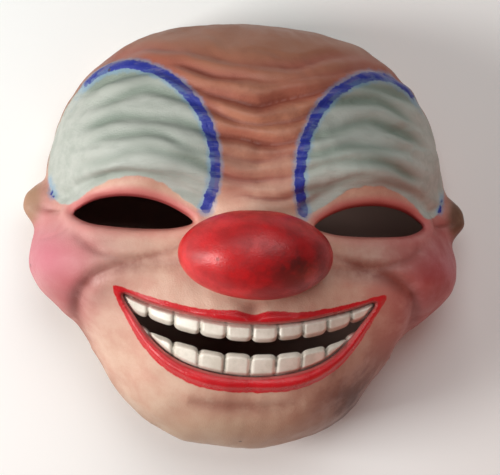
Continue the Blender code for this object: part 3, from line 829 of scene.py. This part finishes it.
mark(skin, "shaded_right_side", np.maximum(shaded_right_side, 0.8 * right_ear))
# Painted shade: the forehead turns a deeper brown towards its top.
mark(skin, "crown", smooth_step(0.42, 0.95, share_y))
# Painted shade: the skin darkens to brown towards the rim.
mark(skin, "rim", 1 - smooth_step(0.9 * RIM_SKIRT, 3.0 * RIM_SKIRT, points[:, 2]))
mark(skin, "ear", smooth_step(0.25, 0.75, ear))
# The folds, the furrows and the hollows are charted for the painted shade that goes into them.
mark(skin, "fold", np.clip(-3.6 * (fold_shape(points[:, 0], level)), 0, 1) * face_side)
mark(skin, "furrow", np.clip(-7 * furrow_shape(points[:, 0], level, 0.0), 0, 1) * face_side)
mark(skin, "hollow", bend_of(skin) * painted)
print("the white arches cover", round(100 * float((to_white < 0).mean())), "% of the points")

# %% [markdown]
# ## Tools for wiring materials
#
# A material is a tree of nodes, and wiring it by hand in a script gets long. These helpers make one
# node a line: an input is either a number or another node's output. Colours are written as they look
# on a screen, from 0 to 255, and turned into the linear values that the shader wants.

# %% Write the node helpers
def paint(red, green, blue):
    """A screen colour as linear light: ((c + 0.055) / 1.055)^2.4, or c / 12.92 near black."""
    c = np.array([red, green, blue]) / 255
    linear = np.where(c > 0.04045, ((c + 0.055) / 1.055) ** 2.4, c / 12.92)
    return (*linear.tolist(), 1.0)


def node(tree, kind, inputs=None, **settings):
    """One node, with its settings and its inputs, each a value or an output to link."""
    made = tree.nodes.new(kind)
    for name, value in settings.items():
        setattr(made, name, value)
    for key, value in (inputs or {}).items():
        if isinstance(value, bpy.types.NodeSocket):
            tree.links.new(value, made.inputs[key])
        else:
            made.inputs[key].default_value = value
    return made


def mix(tree, share, low, high):
    """Colour between two colours."""
    return node(tree, "ShaderNodeMix", {0: share, 6: low, 7: high}, data_type="RGBA").outputs[2]


def calc(tree, operation, a, b=0.0, clamp=False):
    """One sum of two numbers."""
    return node(tree, "ShaderNodeMath", {0: a, 1: b}, operation=operation, use_clamp=clamp).outputs[0]


def ramp(tree, value, low, high, to_low=0.0, to_high=1.0):
    """A value eased from one range into another."""
    inputs = {"Value": value, "From Min": low, "From Max": high, "To Min": to_low, "To Max": to_high}
    return node(tree, "ShaderNodeMapRange", inputs, interpolation_type="SMOOTHSTEP").outputs[0]


def number_of(tree, name):
    """The number that the mesh keeps at each point under this name."""
    return node(tree, "ShaderNodeAttribute", attribute_name=name).outputs["Fac"]


def place_in(tree):
    """The place on the object."""
    return node(tree, "ShaderNodeTexCoord").outputs["Object"]


def noise(tree, vector, scale, detail=2.0, roughness=0.5):
    """Cloudy noise around one half."""
    inputs = {"Vector": vector, "Scale": scale, "Detail": detail, "Roughness": roughness}
    return node(tree, "ShaderNodeTexNoise", inputs).outputs[0]


def new_group(name, inputs, outputs):
    """An empty node group with named number inputs and outputs."""
    tree = bpy.data.node_groups.new(name, "ShaderNodeTree")
    for label, default in inputs.items():
        tree.interface.new_socket(label, in_out="INPUT", socket_type="NodeSocketFloat").default_value = default
    for label in outputs:
        tree.interface.new_socket(label, in_out="OUTPUT", socket_type="NodeSocketFloat")
    return tree, tree.nodes.new("NodeGroupInput").outputs, tree.nodes.new("NodeGroupOutput").inputs


def use(tree, group, inputs):
    """A group placed in a tree with its own values."""
    return node(tree, "ShaderNodeGroup", inputs, node_tree=group).outputs


def start_material(material, roughness=0.5, **constant):
    """The material's tree and its main shader, with the numbers that are the same all over."""
    material.use_nodes = True
    shader = material.node_tree.nodes["Principled BSDF"]
    shader.inputs["Roughness"].default_value = roughness
    for name, value in constant.items():
        shader.inputs[name.replace("_", " ")].default_value = value
    return material.node_tree, shader.inputs


# %% [markdown]
# ## Effects that the materials share
#
# A brushed coat never ends on a clean line, so one group wanders its edge. A second group gives the
# grain of poured latex, its pores and soft unevenness, and a few specks of stray paint. A third gives
# the streaks that a brush leaves. Each is built once and used with its own values.

# %% Build the shared groups
coat_edge, given, result = new_group(
    "coat_edge", {"Distance": 0.0, "Wander": 0.6, "Softness": 0.4, "Scale": 260.0}, ["Mask"]
)
wide = noise(coat_edge, place_in(coat_edge), given["Scale"], 3.0, 0.6)
shift = calc(coat_edge, "MULTIPLY", calc(coat_edge, "SUBTRACT", wide, 0.5), given["Wander"])
shifted = calc(coat_edge, "MULTIPLY_ADD", shift, 4.0)
coat_edge.links.new(given["Distance"], shifted.node.inputs[2])
below = calc(coat_edge, "MULTIPLY", given["Softness"], -1.0)
coat_edge.links.new(ramp(coat_edge, shifted, below, given["Softness"]), result["Mask"])

latex_grain, given, result = new_group("latex_grain", {"Pores": 1500.0, "Clouds": 55.0}, ["Height", "Mottle", "Specks"])
at = place_in(latex_grain)
pores = noise(latex_grain, at, given["Pores"], 3.0, 0.6)
clouds = noise(latex_grain, at, given["Clouds"], 5.0, 0.62)
cells = node(latex_grain, "ShaderNodeTexVoronoi", {"Vector": at, "Scale": 62.0})
near = ramp(latex_grain, cells.outputs["Distance"], 0.075, 0.035)
tone = node(latex_grain, "ShaderNodeSeparateColor", {0: cells.outputs["Color"]}).outputs[0]
chosen = ramp(latex_grain, tone, 0.80, 0.82)
latex_grain.links.new(calc(latex_grain, "ADD", pores, calc(latex_grain, "MULTIPLY", clouds, 1.5)), result["Height"])
latex_grain.links.new(ramp(latex_grain, clouds, 0.32, 0.68), result["Mottle"])
latex_grain.links.new(calc(latex_grain, "MULTIPLY", near, chosen), result["Specks"])

brush_streaks, given, result = new_group("brush_streaks", {"Scale": 170.0, "Stretch": 0.18}, ["Streak"])
stretch = node(brush_streaks, "ShaderNodeCombineXYZ", {0: given["Stretch"], 1: 1.0, 2: 1.0}).outputs[0]
drawn = node(brush_streaks, "ShaderNodeVectorMath", {0: place_in(brush_streaks), 1: stretch}, operation="MULTIPLY")
streaks = noise(brush_streaks, drawn.outputs[0], given["Scale"], 4.0, 0.65)
brush_streaks.links.new(ramp(brush_streaks, streaks, 0.30, 0.70), result["Streak"])
print("shared effects:", [group.name for group in (coat_edge, latex_grain, brush_streaks)])

# %% [markdown]
# ## The painted skin
#
# The coats go on in the order in which they were painted: flesh, a browner forehead and chin, pink
# cheeks, and painted shade, darker towards the top of the forehead and the rim and red-brown over the
# right side and in the furrows and folds. Then come the white arches with their blue edge, and the
# red lips last. Each coat hides the one below by its mask. The gloss changes with the coat: the
# flesh is satin, the white is chalky, and the lips shine.

# %% Paint the skin
FLESH = paint(214, 178, 156)
FLESH_WARM = paint(202, 152, 132)
FOREHEAD = paint(192, 126, 94)
FOREHEAD_DEEP = paint(148, 92, 66)
JAW_SHADE = paint(168, 142, 116)
CREASE_SHADE = paint(118, 50, 38)
RIM_SHADE = paint(112, 74, 46)
JAW_SHADE_BROWN = paint(72, 42, 28)
EAR_TAN = paint(158, 124, 94)
FURROW_SHADE_RED = paint(150, 62, 56)
RIGHT_SHADE_RED = paint(152, 40, 32)
CHEEK_PINK = paint(190, 98, 118)
BLUSH_RED = paint(166, 56, 66)
LID_PINK = paint(204, 108, 106)
LID_RED = paint(152, 40, 44)
WHITE_COAT = paint(180, 183, 175)
WHITE_SHADE = paint(120, 132, 120)
BLUE_COAT = paint(30, 42, 138)
BLUE_THIN = paint(104, 152, 190)
LIP_RED = paint(206, 30, 38)
LIP_DEEP = paint(112, 12, 16)
GUM_PINK = paint(190, 96, 92)
SPECK = paint(58, 44, 40)

tree, shader = start_material(painted_latex, 0.5, Specular_IOR_Level=0.45, Coat_Roughness=0.3)
grain = use(tree, latex_grain, {})
streak = use(tree, brush_streaks, {})["Streak"]
mottle = grain["Mottle"]
furrow = number_of(tree, "furrow")
valley = ramp(tree, number_of(tree, "hollow"), 0.12, 0.75)

colour = mix(tree, mottle, FLESH, FLESH_WARM)
# The deeper brown comes with the mottle, and as painted shade towards the top of the forehead.
brow_tone = mix(tree, calc(tree, "MAXIMUM", mottle, number_of(tree, "crown")), FOREHEAD, FOREHEAD_DEEP)
colour = mix(tree, calc(tree, "MULTIPLY", number_of(tree, "brow"), 0.92), colour, brow_tone)
colour = mix(tree, calc(tree, "MULTIPLY", number_of(tree, "jaw"), 0.8, clamp=True), colour, JAW_SHADE)
# Painted shade towards the rim, broken up by the mottle.
shaded_rim = calc(tree, "MULTIPLY", number_of(tree, "rim"), ramp(tree, mottle, 0.0, 1.0, 0.40, 0.75))
colour = mix(tree, shaded_rim, colour, RIM_SHADE)
colour = mix(tree, calc(tree, "MULTIPLY", number_of(tree, "cheek"), 0.85), colour, CHEEK_PINK)
colour = mix(tree, calc(tree, "MULTIPLY", number_of(tree, "blush"), 0.6), colour, BLUSH_RED)
# Painted shade over the right side of the chin and cheek, broken up by the mottle.
right_shade = calc(tree, "MULTIPLY", number_of(tree, "right_shade"), ramp(tree, mottle, 0.0, 1.0, 0.50, 0.85))
colour = mix(tree, right_shade, colour, RIGHT_SHADE_RED)
colour = mix(tree, calc(tree, "MULTIPLY", number_of(tree, "ear"), 0.8), colour, EAR_TAN)
# Painted shade: dark brown on the right jaw and the right ear, mottled.
right_jaw_shade = calc(tree, "MULTIPLY", number_of(tree, "shaded_right_side"), ramp(tree, mottle, 0.0, 1.0, 0.65, 0.95))
colour = mix(tree, right_jaw_shade, colour, JAW_SHADE_BROWN)
# Painted shade: red-brown in the valleys of the furrows.
colour = mix(tree, calc(tree, "MULTIPLY", furrow, 0.5), colour, FURROW_SHADE_RED)
# Painted shade: red-brown in the folds and wherever the surface is hollow.
folded = ramp(tree, mottle, 0.0, 1.0, 0.35, 0.80)
crease_shade = calc(tree, "MULTIPLY", number_of(tree, "fold"), folded)
crease_shade = calc(tree, "MAXIMUM", crease_shade, calc(tree, "MULTIPLY", valley, 0.55))
colour = mix(tree, crease_shade, colour, CREASE_SHADE)
lid = ramp(tree, number_of(tree, "lid_mm"), 6.0, 1.5)
upper_lid = number_of(tree, "upper_lid")
colour = mix(tree, calc(tree, "MULTIPLY", lid, ramp(tree, upper_lid, 0.0, 1.0, 0.30, 0.85)), colour, LID_PINK)
white = use(tree, coat_edge, {"Distance": number_of(tree, "white_mm"), "Wander": 0.5, "Softness": 0.5})["Mask"]
# The white greys with painted shade in the furrows and with its own brush streaks.
shade = calc(tree, "MAXIMUM", calc(tree, "MULTIPLY", furrow, 0.9), calc(tree, "MULTIPLY", streak, 0.35))
colour = mix(tree, white, colour, mix(tree, shade, WHITE_COAT, WHITE_SHADE))
wide_blue = calc(tree, "ADD", number_of(tree, "blue_mm"), 0.7)
halo = use(tree, coat_edge, {"Distance": wide_blue, "Wander": 0.9, "Softness": 1.2})["Mask"]
colour = mix(tree, calc(tree, "MULTIPLY", halo, 0.5), colour, BLUE_THIN)
inner_blue = calc(tree, "SUBTRACT", number_of(tree, "blue_mm"), 0.5)
blue = use(tree, coat_edge, {"Distance": inner_blue, "Wander": 0.7, "Softness": 0.35, "Scale": 330.0})["Mask"]
colour = mix(tree, calc(tree, "MULTIPLY", blue, ramp(tree, streak, 0.1, 0.7, 0.62, 1.0)), colour, BLUE_COAT)
# A dark red line at the eye hole's edge: make-up, and painted shade where the lid rolls into the hole.
lash_and_shade = ramp(tree, number_of(tree, "lid_mm"), 1.5, 0.3)
colour = mix(tree, calc(tree, "MULTIPLY", lash_and_shade, ramp(tree, upper_lid, 0.0, 1.0, 0.35, 0.75)), colour, LID_RED)
lips = use(tree, coat_edge, {"Distance": number_of(tree, "lips_mm"), "Wander": 0.35, "Softness": 0.3})["Mask"]
lip_shade = calc(tree, "MULTIPLY", ramp(tree, number_of(tree, "mouth_mm"), 1.8, 0.5), 0.6)
lip_tone = mix(tree, calc(tree, "MAXIMUM", lip_shade, calc(tree, "MULTIPLY", mottle, 0.22)), LIP_RED, LIP_DEEP)
colour = mix(tree, lips, colour, lip_tone)
colour = mix(tree, ramp(tree, number_of(tree, "mouth_mm"), 1.4, 0.3), colour, GUM_PINK)
colour = mix(tree, calc(tree, "MULTIPLY", grain["Specks"], 0.8), colour, SPECK)
tree.links.new(colour, shader["Base Color"])

rough = calc(tree, "MULTIPLY_ADD", mottle, 0.14)
rough.node.inputs[2].default_value = 0.42
rough = calc(tree, "ADD", rough, calc(tree, "MULTIPLY", white, 0.10))
rough = calc(tree, "SUBTRACT", rough, calc(tree, "MULTIPLY", lips, 0.18))
tree.links.new(rough, shader["Roughness"])
brushed = calc(tree, "MULTIPLY", streak, calc(tree, "ADD", white, blue))
height = calc(tree, "ADD", grain["Height"], brushed)
bump = node(tree, "ShaderNodeBump", {"Strength": 0.35, "Distance": 0.0006, "Height": height})
tree.links.new(bump.outputs[0], shader["Normal"])

# %% [markdown]
# ## The bare latex inside
#
# Nobody paints the inside. It keeps the yellowish brown of cured latex, with darker and lighter clouds
# where the pour was thick or thin, and it is duller than the outside.

# %% Finish the inside and dress the face
tree, shader = start_material(bare_latex, 0.62, Specular_IOR_Level=0.35)
grain = use(tree, latex_grain, {"Pores": 900.0, "Clouds": 38.0})
colour = mix(tree, grain["Mottle"], paint(176, 138, 100), paint(134, 98, 68))
tree.links.new(mix(tree, calc(tree, "MULTIPLY", grain["Specks"], 0.5), colour, SPECK), shader["Base Color"])
bump = node(tree, "ShaderNodeBump", {"Strength": 0.4, "Distance": 0.0006, "Height": grain["Height"]})
tree.links.new(bump.outputs[0], shader["Normal"])

smooth(skin, 50)
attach(skin, "root")
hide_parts("face_shell")

# %% [markdown]
# ## The nose
#
# The nose is a hollow ball squashed from above and below and glued over a hole. It is turned inwards
# again under its widest part, so that the seam lies in shadow. Its foot follows the skin below it: the
# place over each point of the seam is found by correcting a guess until the skin's point lies there.

# %% Build the nose
NOSE_SEAM_GAP = 0.0004
NOSE_RINGS = 72
NOSE_AROUND = 144


def over(surface, x, y):
    """The surface's points over the places (x, y): the guess is moved by what it misses by, again and
    again."""
    aim_x, aim_y = x.copy(), y.copy()
    for _ in range(12):
        angle = np.arctan2(aim_y / HALF_HEIGHT, aim_x / HALF_WIDTH)
        spread = np.hypot(aim_x / HALF_WIDTH, aim_y / HALF_HEIGHT) / rim_reach(angle)
        run = np.arcsin(np.clip(spread, 0, 0.995)) * 2 / math.pi
        points = surface(run * np.cos(angle), run * np.sin(angle))
        aim_x += x - points[..., 0]
        aim_y += y - points[..., 1]
    return points


turn = np.linspace(0, 2 * math.pi, NOSE_AROUND, endpoint=False)
lift = np.linspace(-NOSE_UNDERCUT, math.pi / 2, NOSE_RINGS)[:, None]
seam = math.cos(NOSE_UNDERCUT)
foot = over(face, NOSE_HALF_WIDTH * seam * np.cos(turn), NOSE_HALF_HEIGHT * seam * np.sin(turn) + NOSE_LEVEL)
tip = over(face, np.zeros(1), np.array([NOSE_LEVEL]))[0, 2] + NOSE_REACH
low = foot[:, 2] + NOSE_SEAM_GAP
climb = (np.sin(lift) + math.sin(NOSE_UNDERCUT)) / (1 + math.sin(NOSE_UNDERCUT))
ball = np.stack(
    [
        NOSE_HALF_WIDTH * np.cos(lift) * np.cos(turn),
        NOSE_HALF_HEIGHT * np.cos(lift) * np.sin(turn) + NOSE_LEVEL,
        low + (tip - low) * climb,
    ],
    axis=-1,
)
middle = np.array([0, NOSE_LEVEL, tip - NOSE_REACH])
ball += (ball - middle) / np.linalg.norm(ball - middle, axis=-1, keepdims=True) * lumps(ball, 8, 0.00012)[..., None]
nose = smooth(ring_object("clown_nose", ball, caps=False), 60)
wall = nose.modifiers.new("wall", "SOLIDIFY")
wall.thickness = NOSE_WALL
wall.offset = -1
nose_points = points_of(nose)
# Painted shade on the right side of the nose, where it turns away from the light.
nose_shade = np.exp(-(((nose_points[:, 0] - 0.016) / 0.020) ** 2) - ((nose_points[:, 1] - NOSE_LEVEL + 0.002) / 0.014) ** 2)
mark(nose, "nose_shade", nose_shade)
print("the nose stands", round(MM * NOSE_REACH), "mm proud of the skin")

# %% Paint the nose
nose_paint = bpy.data.materials.new("nose_paint")
tree, shader = start_material(nose_paint, 0.4, Specular_IOR_Level=0.5)
grain = use(tree, latex_grain, {"Pores": 1300.0, "Clouds": 70.0})
streak = use(tree, brush_streaks, {"Scale": 120.0, "Stretch": 0.5})["Streak"]
colour = mix(tree, grain["Mottle"], paint(214, 26, 30), paint(166, 14, 18))
colour = mix(tree, calc(tree, "MULTIPLY", streak, 0.18), colour, paint(206, 60, 68))
# Painted shade: the nose's right side darkens in mottled clouds.
shaded_nose = calc(tree, "MULTIPLY", number_of(tree, "nose_shade"), ramp(tree, grain["Mottle"], 0.0, 1.0, 0.55, 0.95))
colour = mix(tree, shaded_nose, colour, paint(66, 12, 12))
colour = mix(tree, calc(tree, "MULTIPLY", grain["Specks"], 0.4), colour, SPECK)
tree.links.new(colour, shader["Base Color"])
tree.links.new(ramp(tree, grain["Mottle"], 0.0, 1.0, 0.34, 0.48), shader["Roughness"])
bump = node(tree, "ShaderNodeBump", {"Strength": 0.25, "Distance": 0.0006, "Height": grain["Height"]})
tree.links.new(bump.outputs[0], shader["Normal"])
nose.data.materials.append(nose_paint)
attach(nose, "root")
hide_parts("nose")

# %% [markdown]
# ## The teeth
#
# Each row is one moulded strip with a crown for every tooth. The strip follows the masses of the face
# a wall's thickness behind the lips. The crown is a rounded block: it rises over the middle of the
# tooth, falls into the gap beside it and over the biting edge, and ends in the gum under the lip.

# %% Build the two rows of teeth
BITE_LEVEL = -0.0500
BITE_RISE = 0.0122
SLIT_HEIGHT = 0.0060
TOOTH_WIDTH = 0.0112
TOOTH_BULGE = 0.0038
TOOTH_PLATE = 0.0022
TEETH_MARGIN = 0.0045
TEETH_SEAT_GAP = 0.0008
UPPER_TEETH = 10
LOWER_TEETH = 8
BITE_LAP = 0.0005
TOOTH_COLUMNS = 22
TOOTH_ROWS = 36


def bite_line(x):
    """Middle of the slit: its level at the centre plus the rise times the squared share of the way out."""
    return BITE_LEVEL + BITE_RISE * (x / MOUTH_HALF_WIDTH) ** 2


def mouth_edge(x, upper):
    """Level of the opening's upper or lower edge over each x."""
    turn = int(np.argmax(mouth_line[:, 0]))
    half = mouth_line[: turn + 1] if upper else mouth_line[turn : LOOP_POINTS // 2 + 1][::-1]
    return np.interp(np.abs(x), half[:, 0], half[:, 1])


def behind_lips(u, v):
    """The masses of the face, sunk by the wall and what lies before the teeth."""
    back = WALL + LIP_ROLL_IN + TEETH_SEAT_GAP
    return raised(formed, lambda points: np.full(points.shape[:-1], -back), u, v)


def teeth_row(name, count, upper):
    """A grid over x and the way from the bite to the gum, raised by crown times bulge. The crown is full
    over the middle of a tooth and half as high in the gap, times an eased edge at the bite and at the
    lips."""
    end = (count + 1) * TOOTH_WIDTH / 2
    x, t = np.meshgrid(np.linspace(-end, end, TOOTH_COLUMNS * (count + 1) + 1), np.linspace(0, 1, TOOTH_ROWS))
    away = 1 if upper else -1
    across = 2 * np.abs(x / TOOTH_WIDTH - np.floor(x / TOOTH_WIDTH) - 0.5)
    number = np.floor(x / TOOTH_WIDTH) + count
    uneven = 0.0005 * np.sin(number * 2.4) * (np.abs(x) < end - TOOTH_WIDTH / 2)
    corner = 0.0016 * np.clip(across, 0, 1) ** 5
    near = bite_line(x) + away * (SLIT_HEIGHT / 2 - BITE_LAP + corner + np.maximum(uneven, 0))
    far = mouth_edge(x, upper) + away * TEETH_MARGIN
    far = np.where(away * (far - near) < TEETH_MARGIN, near + away * TEETH_MARGIN, far)
    y = near + (far - near) * t
    points = over(behind_lips, x, y)
    inside, _ = distance_to_line(x, y, mouth_line, closed=True)
    from_bite = np.abs(y - near)
    block = 1 - 0.34 * smooth_step(0.74, 1.0, across)
    rounded = smooth_step(-0.0006, 0.0022, from_bite)
    crown = block * rounded * smooth_step(0.0, 0.0020, -inside) * (np.abs(x) < end - TOOTH_WIDTH / 2)
    points[..., 2] += TOOTH_BULGE * crown
    obj = mesh_object(name, points, grid_faces(*x.shape))
    if not upper:
        obj.data.flip_normals()
    mark(obj, "gap", np.ravel(smooth_step(0.80, 0.97, across)))
    mark(obj, "gum_mm", np.ravel(-MM * inside))
    mark(obj, "bite_mm", np.ravel(MM * from_bite))
    plate = obj.modifiers.new("plate", "SOLIDIFY")
    plate.thickness = TOOTH_PLATE
    plate.offset = -1
    print(name, "has", len(obj.data.polygons), "faces")
    return smooth(obj, 60)


enamel = bpy.data.materials.new("tooth_enamel")
tree, shader = start_material(enamel, 0.35, Specular_IOR_Level=0.5)
grain = use(tree, latex_grain, {"Pores": 1700.0, "Clouds": 160.0})
colour = mix(tree, grain["Mottle"], paint(236, 227, 214), paint(214, 205, 190))
tartar = calc(tree, "MULTIPLY", number_of(tree, "gap"), ramp(tree, grain["Mottle"], 0.1, 0.9, 0.1, 0.85))
colour = mix(tree, tartar, colour, paint(128, 124, 112))
gum = use(tree, coat_edge, {"Distance": number_of(tree, "gum_mm"), "Wander": 1.0, "Softness": 0.9})["Mask"]
colour = mix(tree, gum, paint(222, 150, 142), colour)
tree.links.new(colour, shader["Base Color"])
tree.links.new(ramp(tree, grain["Mottle"], 0.0, 1.0, 0.28, 0.44), shader["Roughness"])
bump = node(tree, "ShaderNodeBump", {"Strength": 0.2, "Distance": 0.0004, "Height": grain["Height"]})
tree.links.new(bump.outputs[0], shader["Normal"])
for name, count, upper in (("upper_row", UPPER_TEETH, True), ("lower_row", LOWER_TEETH, False)):
    row = teeth_row(name, count, upper)
    row.data.materials.append(enamel)
    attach(row, "root")
    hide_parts("upper_teeth" if upper else "lower_teeth")

# %% [markdown]
# ## The head strap
#
# A flat elastic band runs inside the rim from rivet to rivet. Its cross-section, a flat loop with one
# small rib for each rubber thread, is carried along the line, so the ribs run with the band as they
# do on a real one. The weft between them is left to bump, because its threads are too fine to model.

# %% Build the strap
STRAP_RIBS = 7
STRAP_RIB_HEIGHT = 0.00014
STRAP_SPANS = 260
STRAP_PROFILE = 72

first = rim_angle(EAR_LEVEL - STRAP_END)
line, outward = skirt_line(np.linspace(first, math.pi - first, STRAP_SPANS))
share = np.linspace(0, 1, STRAP_SPANS)
slack = STRAP_SLACK * smooth_step(0.10, 0.5, np.minimum(share, 1 - share))
ripple = 0.00025 * np.sin(share * 2 * math.pi * 9) * np.clip(slack / STRAP_SLACK, 0, 1)
line = line - outward * (WALL + SEAT_GAP + STRAP_THICKNESS / 2 + slack + ripple)[:, None]
around = np.linspace(0, 2 * math.pi, STRAP_PROFILE, endpoint=False)
climb = np.sign(np.sin(around)) * np.abs(np.sin(around)) ** 0.6
half = (STRAP_THICKNESS / 2 - STRAP_RIB_HEIGHT) * np.sign(np.cos(around)) * np.abs(np.cos(around)) ** 0.22
ribs = STRAP_RIB_HEIGHT * np.abs(np.cos(climb * math.pi * STRAP_RIBS / 2)) * np.sign(half)
depth = half + ribs
level = STRAP_LIFT + STRAP_WIDTH / 2 * (1 + climb)
rings = np.zeros((STRAP_SPANS, STRAP_PROFILE, 3))
rings[..., :2] = line[:, None, :] + outward[:, None, :] * depth[None, :, None]
rings[..., 2] = level
strap = ring_object("elastic_strap", rings)
elastic = bpy.data.materials.new("elastic_weave")
strap.data.materials.append(elastic)
for side in (-1, 1):
    carve(strap, rivet_hole(side))
smooth(strap, 60)
strap_points = points_of(strap)
mark(strap, "along_mm", MM * HALF_WIDTH * np.arctan2(strap_points[:, 1], strap_points[:, 0]))
print("the strap is", round(MM * np.linalg.norm(np.diff(line, axis=0), axis=1).sum()), "mm long")

# %% Weave the strap
tree, shader = start_material(elastic, 0.85, Specular_IOR_Level=0.25, Sheen_Weight=0.3, Sheen_Roughness=0.5)
along = number_of(tree, "along_mm")
up = node(tree, "ShaderNodeSeparateXYZ", {0: place_in(tree)}).outputs[2]
weft = calc(tree, "SINE", calc(tree, "MULTIPLY", along, 2 * math.pi / 0.8))
warp = calc(tree, "SINE", calc(tree, "MULTIPLY", up, 2 * math.pi / 0.0009))
weave = calc(tree, "MULTIPLY", weft, warp)
lint = noise(tree, place_in(tree), 900.0, 3.0)
colour = mix(tree, ramp(tree, weave, -1.0, 1.0), paint(26, 25, 27), paint(52, 50, 54))
colour = mix(tree, ramp(tree, lint, 0.62, 0.75, 0.0, 0.4), colour, paint(110, 106, 104))
tree.links.new(colour, shader["Base Color"])
bump = node(tree, "ShaderNodeBump", {"Strength": 0.6, "Distance": 0.0003, "Height": weave})
tree.links.new(bump.outputs[0], shader["Normal"])
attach(strap, "root")
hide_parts("head_strap")

# %% [markdown]
# ## The rivets
#
# A rivet is a turned part, so it is a profile of radius and height carried round its axis. The corners
# of the profile are given as short curves, which catch the light as the edge of pressed metal does.

# %% Build the rivets
top = SEAT_GAP + RIVET_HEAD_THICKNESS
under = -(WALL + STRAP_THICKNESS + 2 * SEAT_GAP)
head = np.array([
    (0.00, 0.00), (0.30, -0.05), (0.60, -0.20), (0.80, -0.38), (0.92, -0.60), (0.98, -0.80), (1.00, -1.00),
])
outer_head = [(r * RIVET_HEAD_RADIUS, top + h * RIVET_HEAD_CROWN) for r, h in head]
inner_head = [(r * RIVET_HEAD_RADIUS, under - RIVET_HEAD_THICKNESS - h * RIVET_HEAD_CROWN) for r, h in head[::-1]]
shank = [(RIVET_HEAD_RADIUS, SEAT_GAP), (RIVET_SHANK_RADIUS, SEAT_GAP), (RIVET_SHANK_RADIUS, under), (RIVET_HEAD_RADIUS, under)]
plated = bpy.data.materials.new("plated_metal")
tree, shader = start_material(plated, 0.35, Metallic=1.0)
scuff = noise(tree, place_in(tree), 2600.0, 4.0, 0.7)
colour = mix(tree, ramp(tree, scuff, 0.35, 0.70), paint(206, 200, 190), paint(140, 132, 122))
tree.links.new(colour, shader["Base Color"])
tree.links.new(ramp(tree, scuff, 0.3, 0.7, 0.25, 0.55), shader["Roughness"])
bump = node(tree, "ShaderNodeBump", {"Strength": 0.15, "Distance": 0.0002, "Height": scuff})
tree.links.new(bump.outputs[0], shader["Normal"])
for name, side in (("left", -1), ("right", 1)):
    rivet = smooth(ring_object(name + "_stud", turned(side, outer_head + shank + inner_head, 48), caps=False), 35)
    rivet.data.materials.append(plated)
    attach(rivet, "root")
    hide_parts(name + "_rivet")

# %% [markdown]
# ## The floor and the light
#
# The floor is plain and pale, just under the rim. The holes should look nearly black inside, so a darker
# sheet lies hidden under the mask as painted shade. The light comes low from the left, and the right half
# of the face lies in warm shade, so one large lamp rakes across the face from the left, a weak one above
# fills the shade, and a warm one stands for the light that comes back from the room.

# %% Light the mask
FLOOR_SIZE = 6.0
FLOOR_LEVEL = -0.0004
SHEET_MARGIN = 0.97

floor = mesh_object("floor", np.array([(-1, -1, 0), (1, -1, 0), (1, 1, 0), (-1, 1, 0)]) * FLOOR_SIZE / 2, [[0, 1, 2, 3]])
floor.location = (0, 0, FLOOR_LEVEL)
tree, shader = start_material(bpy.data.materials.new("pale_floor"), 0.8)
shader["Base Color"].default_value = paint(250, 250, 248)
floor.data.materials.append(bpy.data.materials["pale_floor"])
# Painted shade: a darker sheet under the rim darkens what shows through the holes.
turn = np.linspace(0, 2 * math.pi, 96, endpoint=False)
under_rim = np.column_stack([skirt_line(turn)[0] * SHEET_MARGIN, np.zeros(len(turn))])
sheet = mesh_object("shade_sheet", under_rim, [list(range(len(turn)))])
sheet.location = (0, 0, FLOOR_LEVEL / 2)
tree, shader = start_material(bpy.data.materials.new("shade_paper"), 0.9, Specular_IOR_Level=0.1)
shader["Base Color"].default_value = paint(176, 146, 136)
sheet.data.materials.append(bpy.data.materials["shade_paper"])


def lamp(name, place, aim, size, power, tint):
    """A square soft lamp that looks at a point."""
    light = bpy.data.lights.new(name, "AREA")
    light.size = size
    light.energy = power
    light.color = tint
    obj = bpy.data.objects.new(name, light)
    obj.location = place
    obj.rotation_euler = (Vector(aim) - Vector(place)).to_track_quat("-Z", "Y").to_euler()
    bpy.context.scene.collection.objects.link(obj)


lamp("window_light", (-0.80, -0.15, 0.46), (0, 0, 0.04), 0.36, 8.2, (1.0, 0.99, 0.97))
lamp("room_light", (0.02, 0.55, 1.00), (0, 0, 0.04), 0.8, 5.9, (0.98, 1.0, 1.0))
lamp("warm_bounce", (0.62, -0.50, 0.22), (0, 0, 0.04), 0.5, 1.3, (1.0, 0.22, 0.12))
world = bpy.data.worlds.new("pale_room")
world.use_nodes = True
world.node_tree.nodes["Background"].inputs[0].default_value = (1.0, 0.93, 0.88, 1)
world.node_tree.nodes["Background"].inputs[1].default_value = 0.07
bpy.context.scene.world = world
bpy.context.scene.view_settings.view_transform = "Standard"
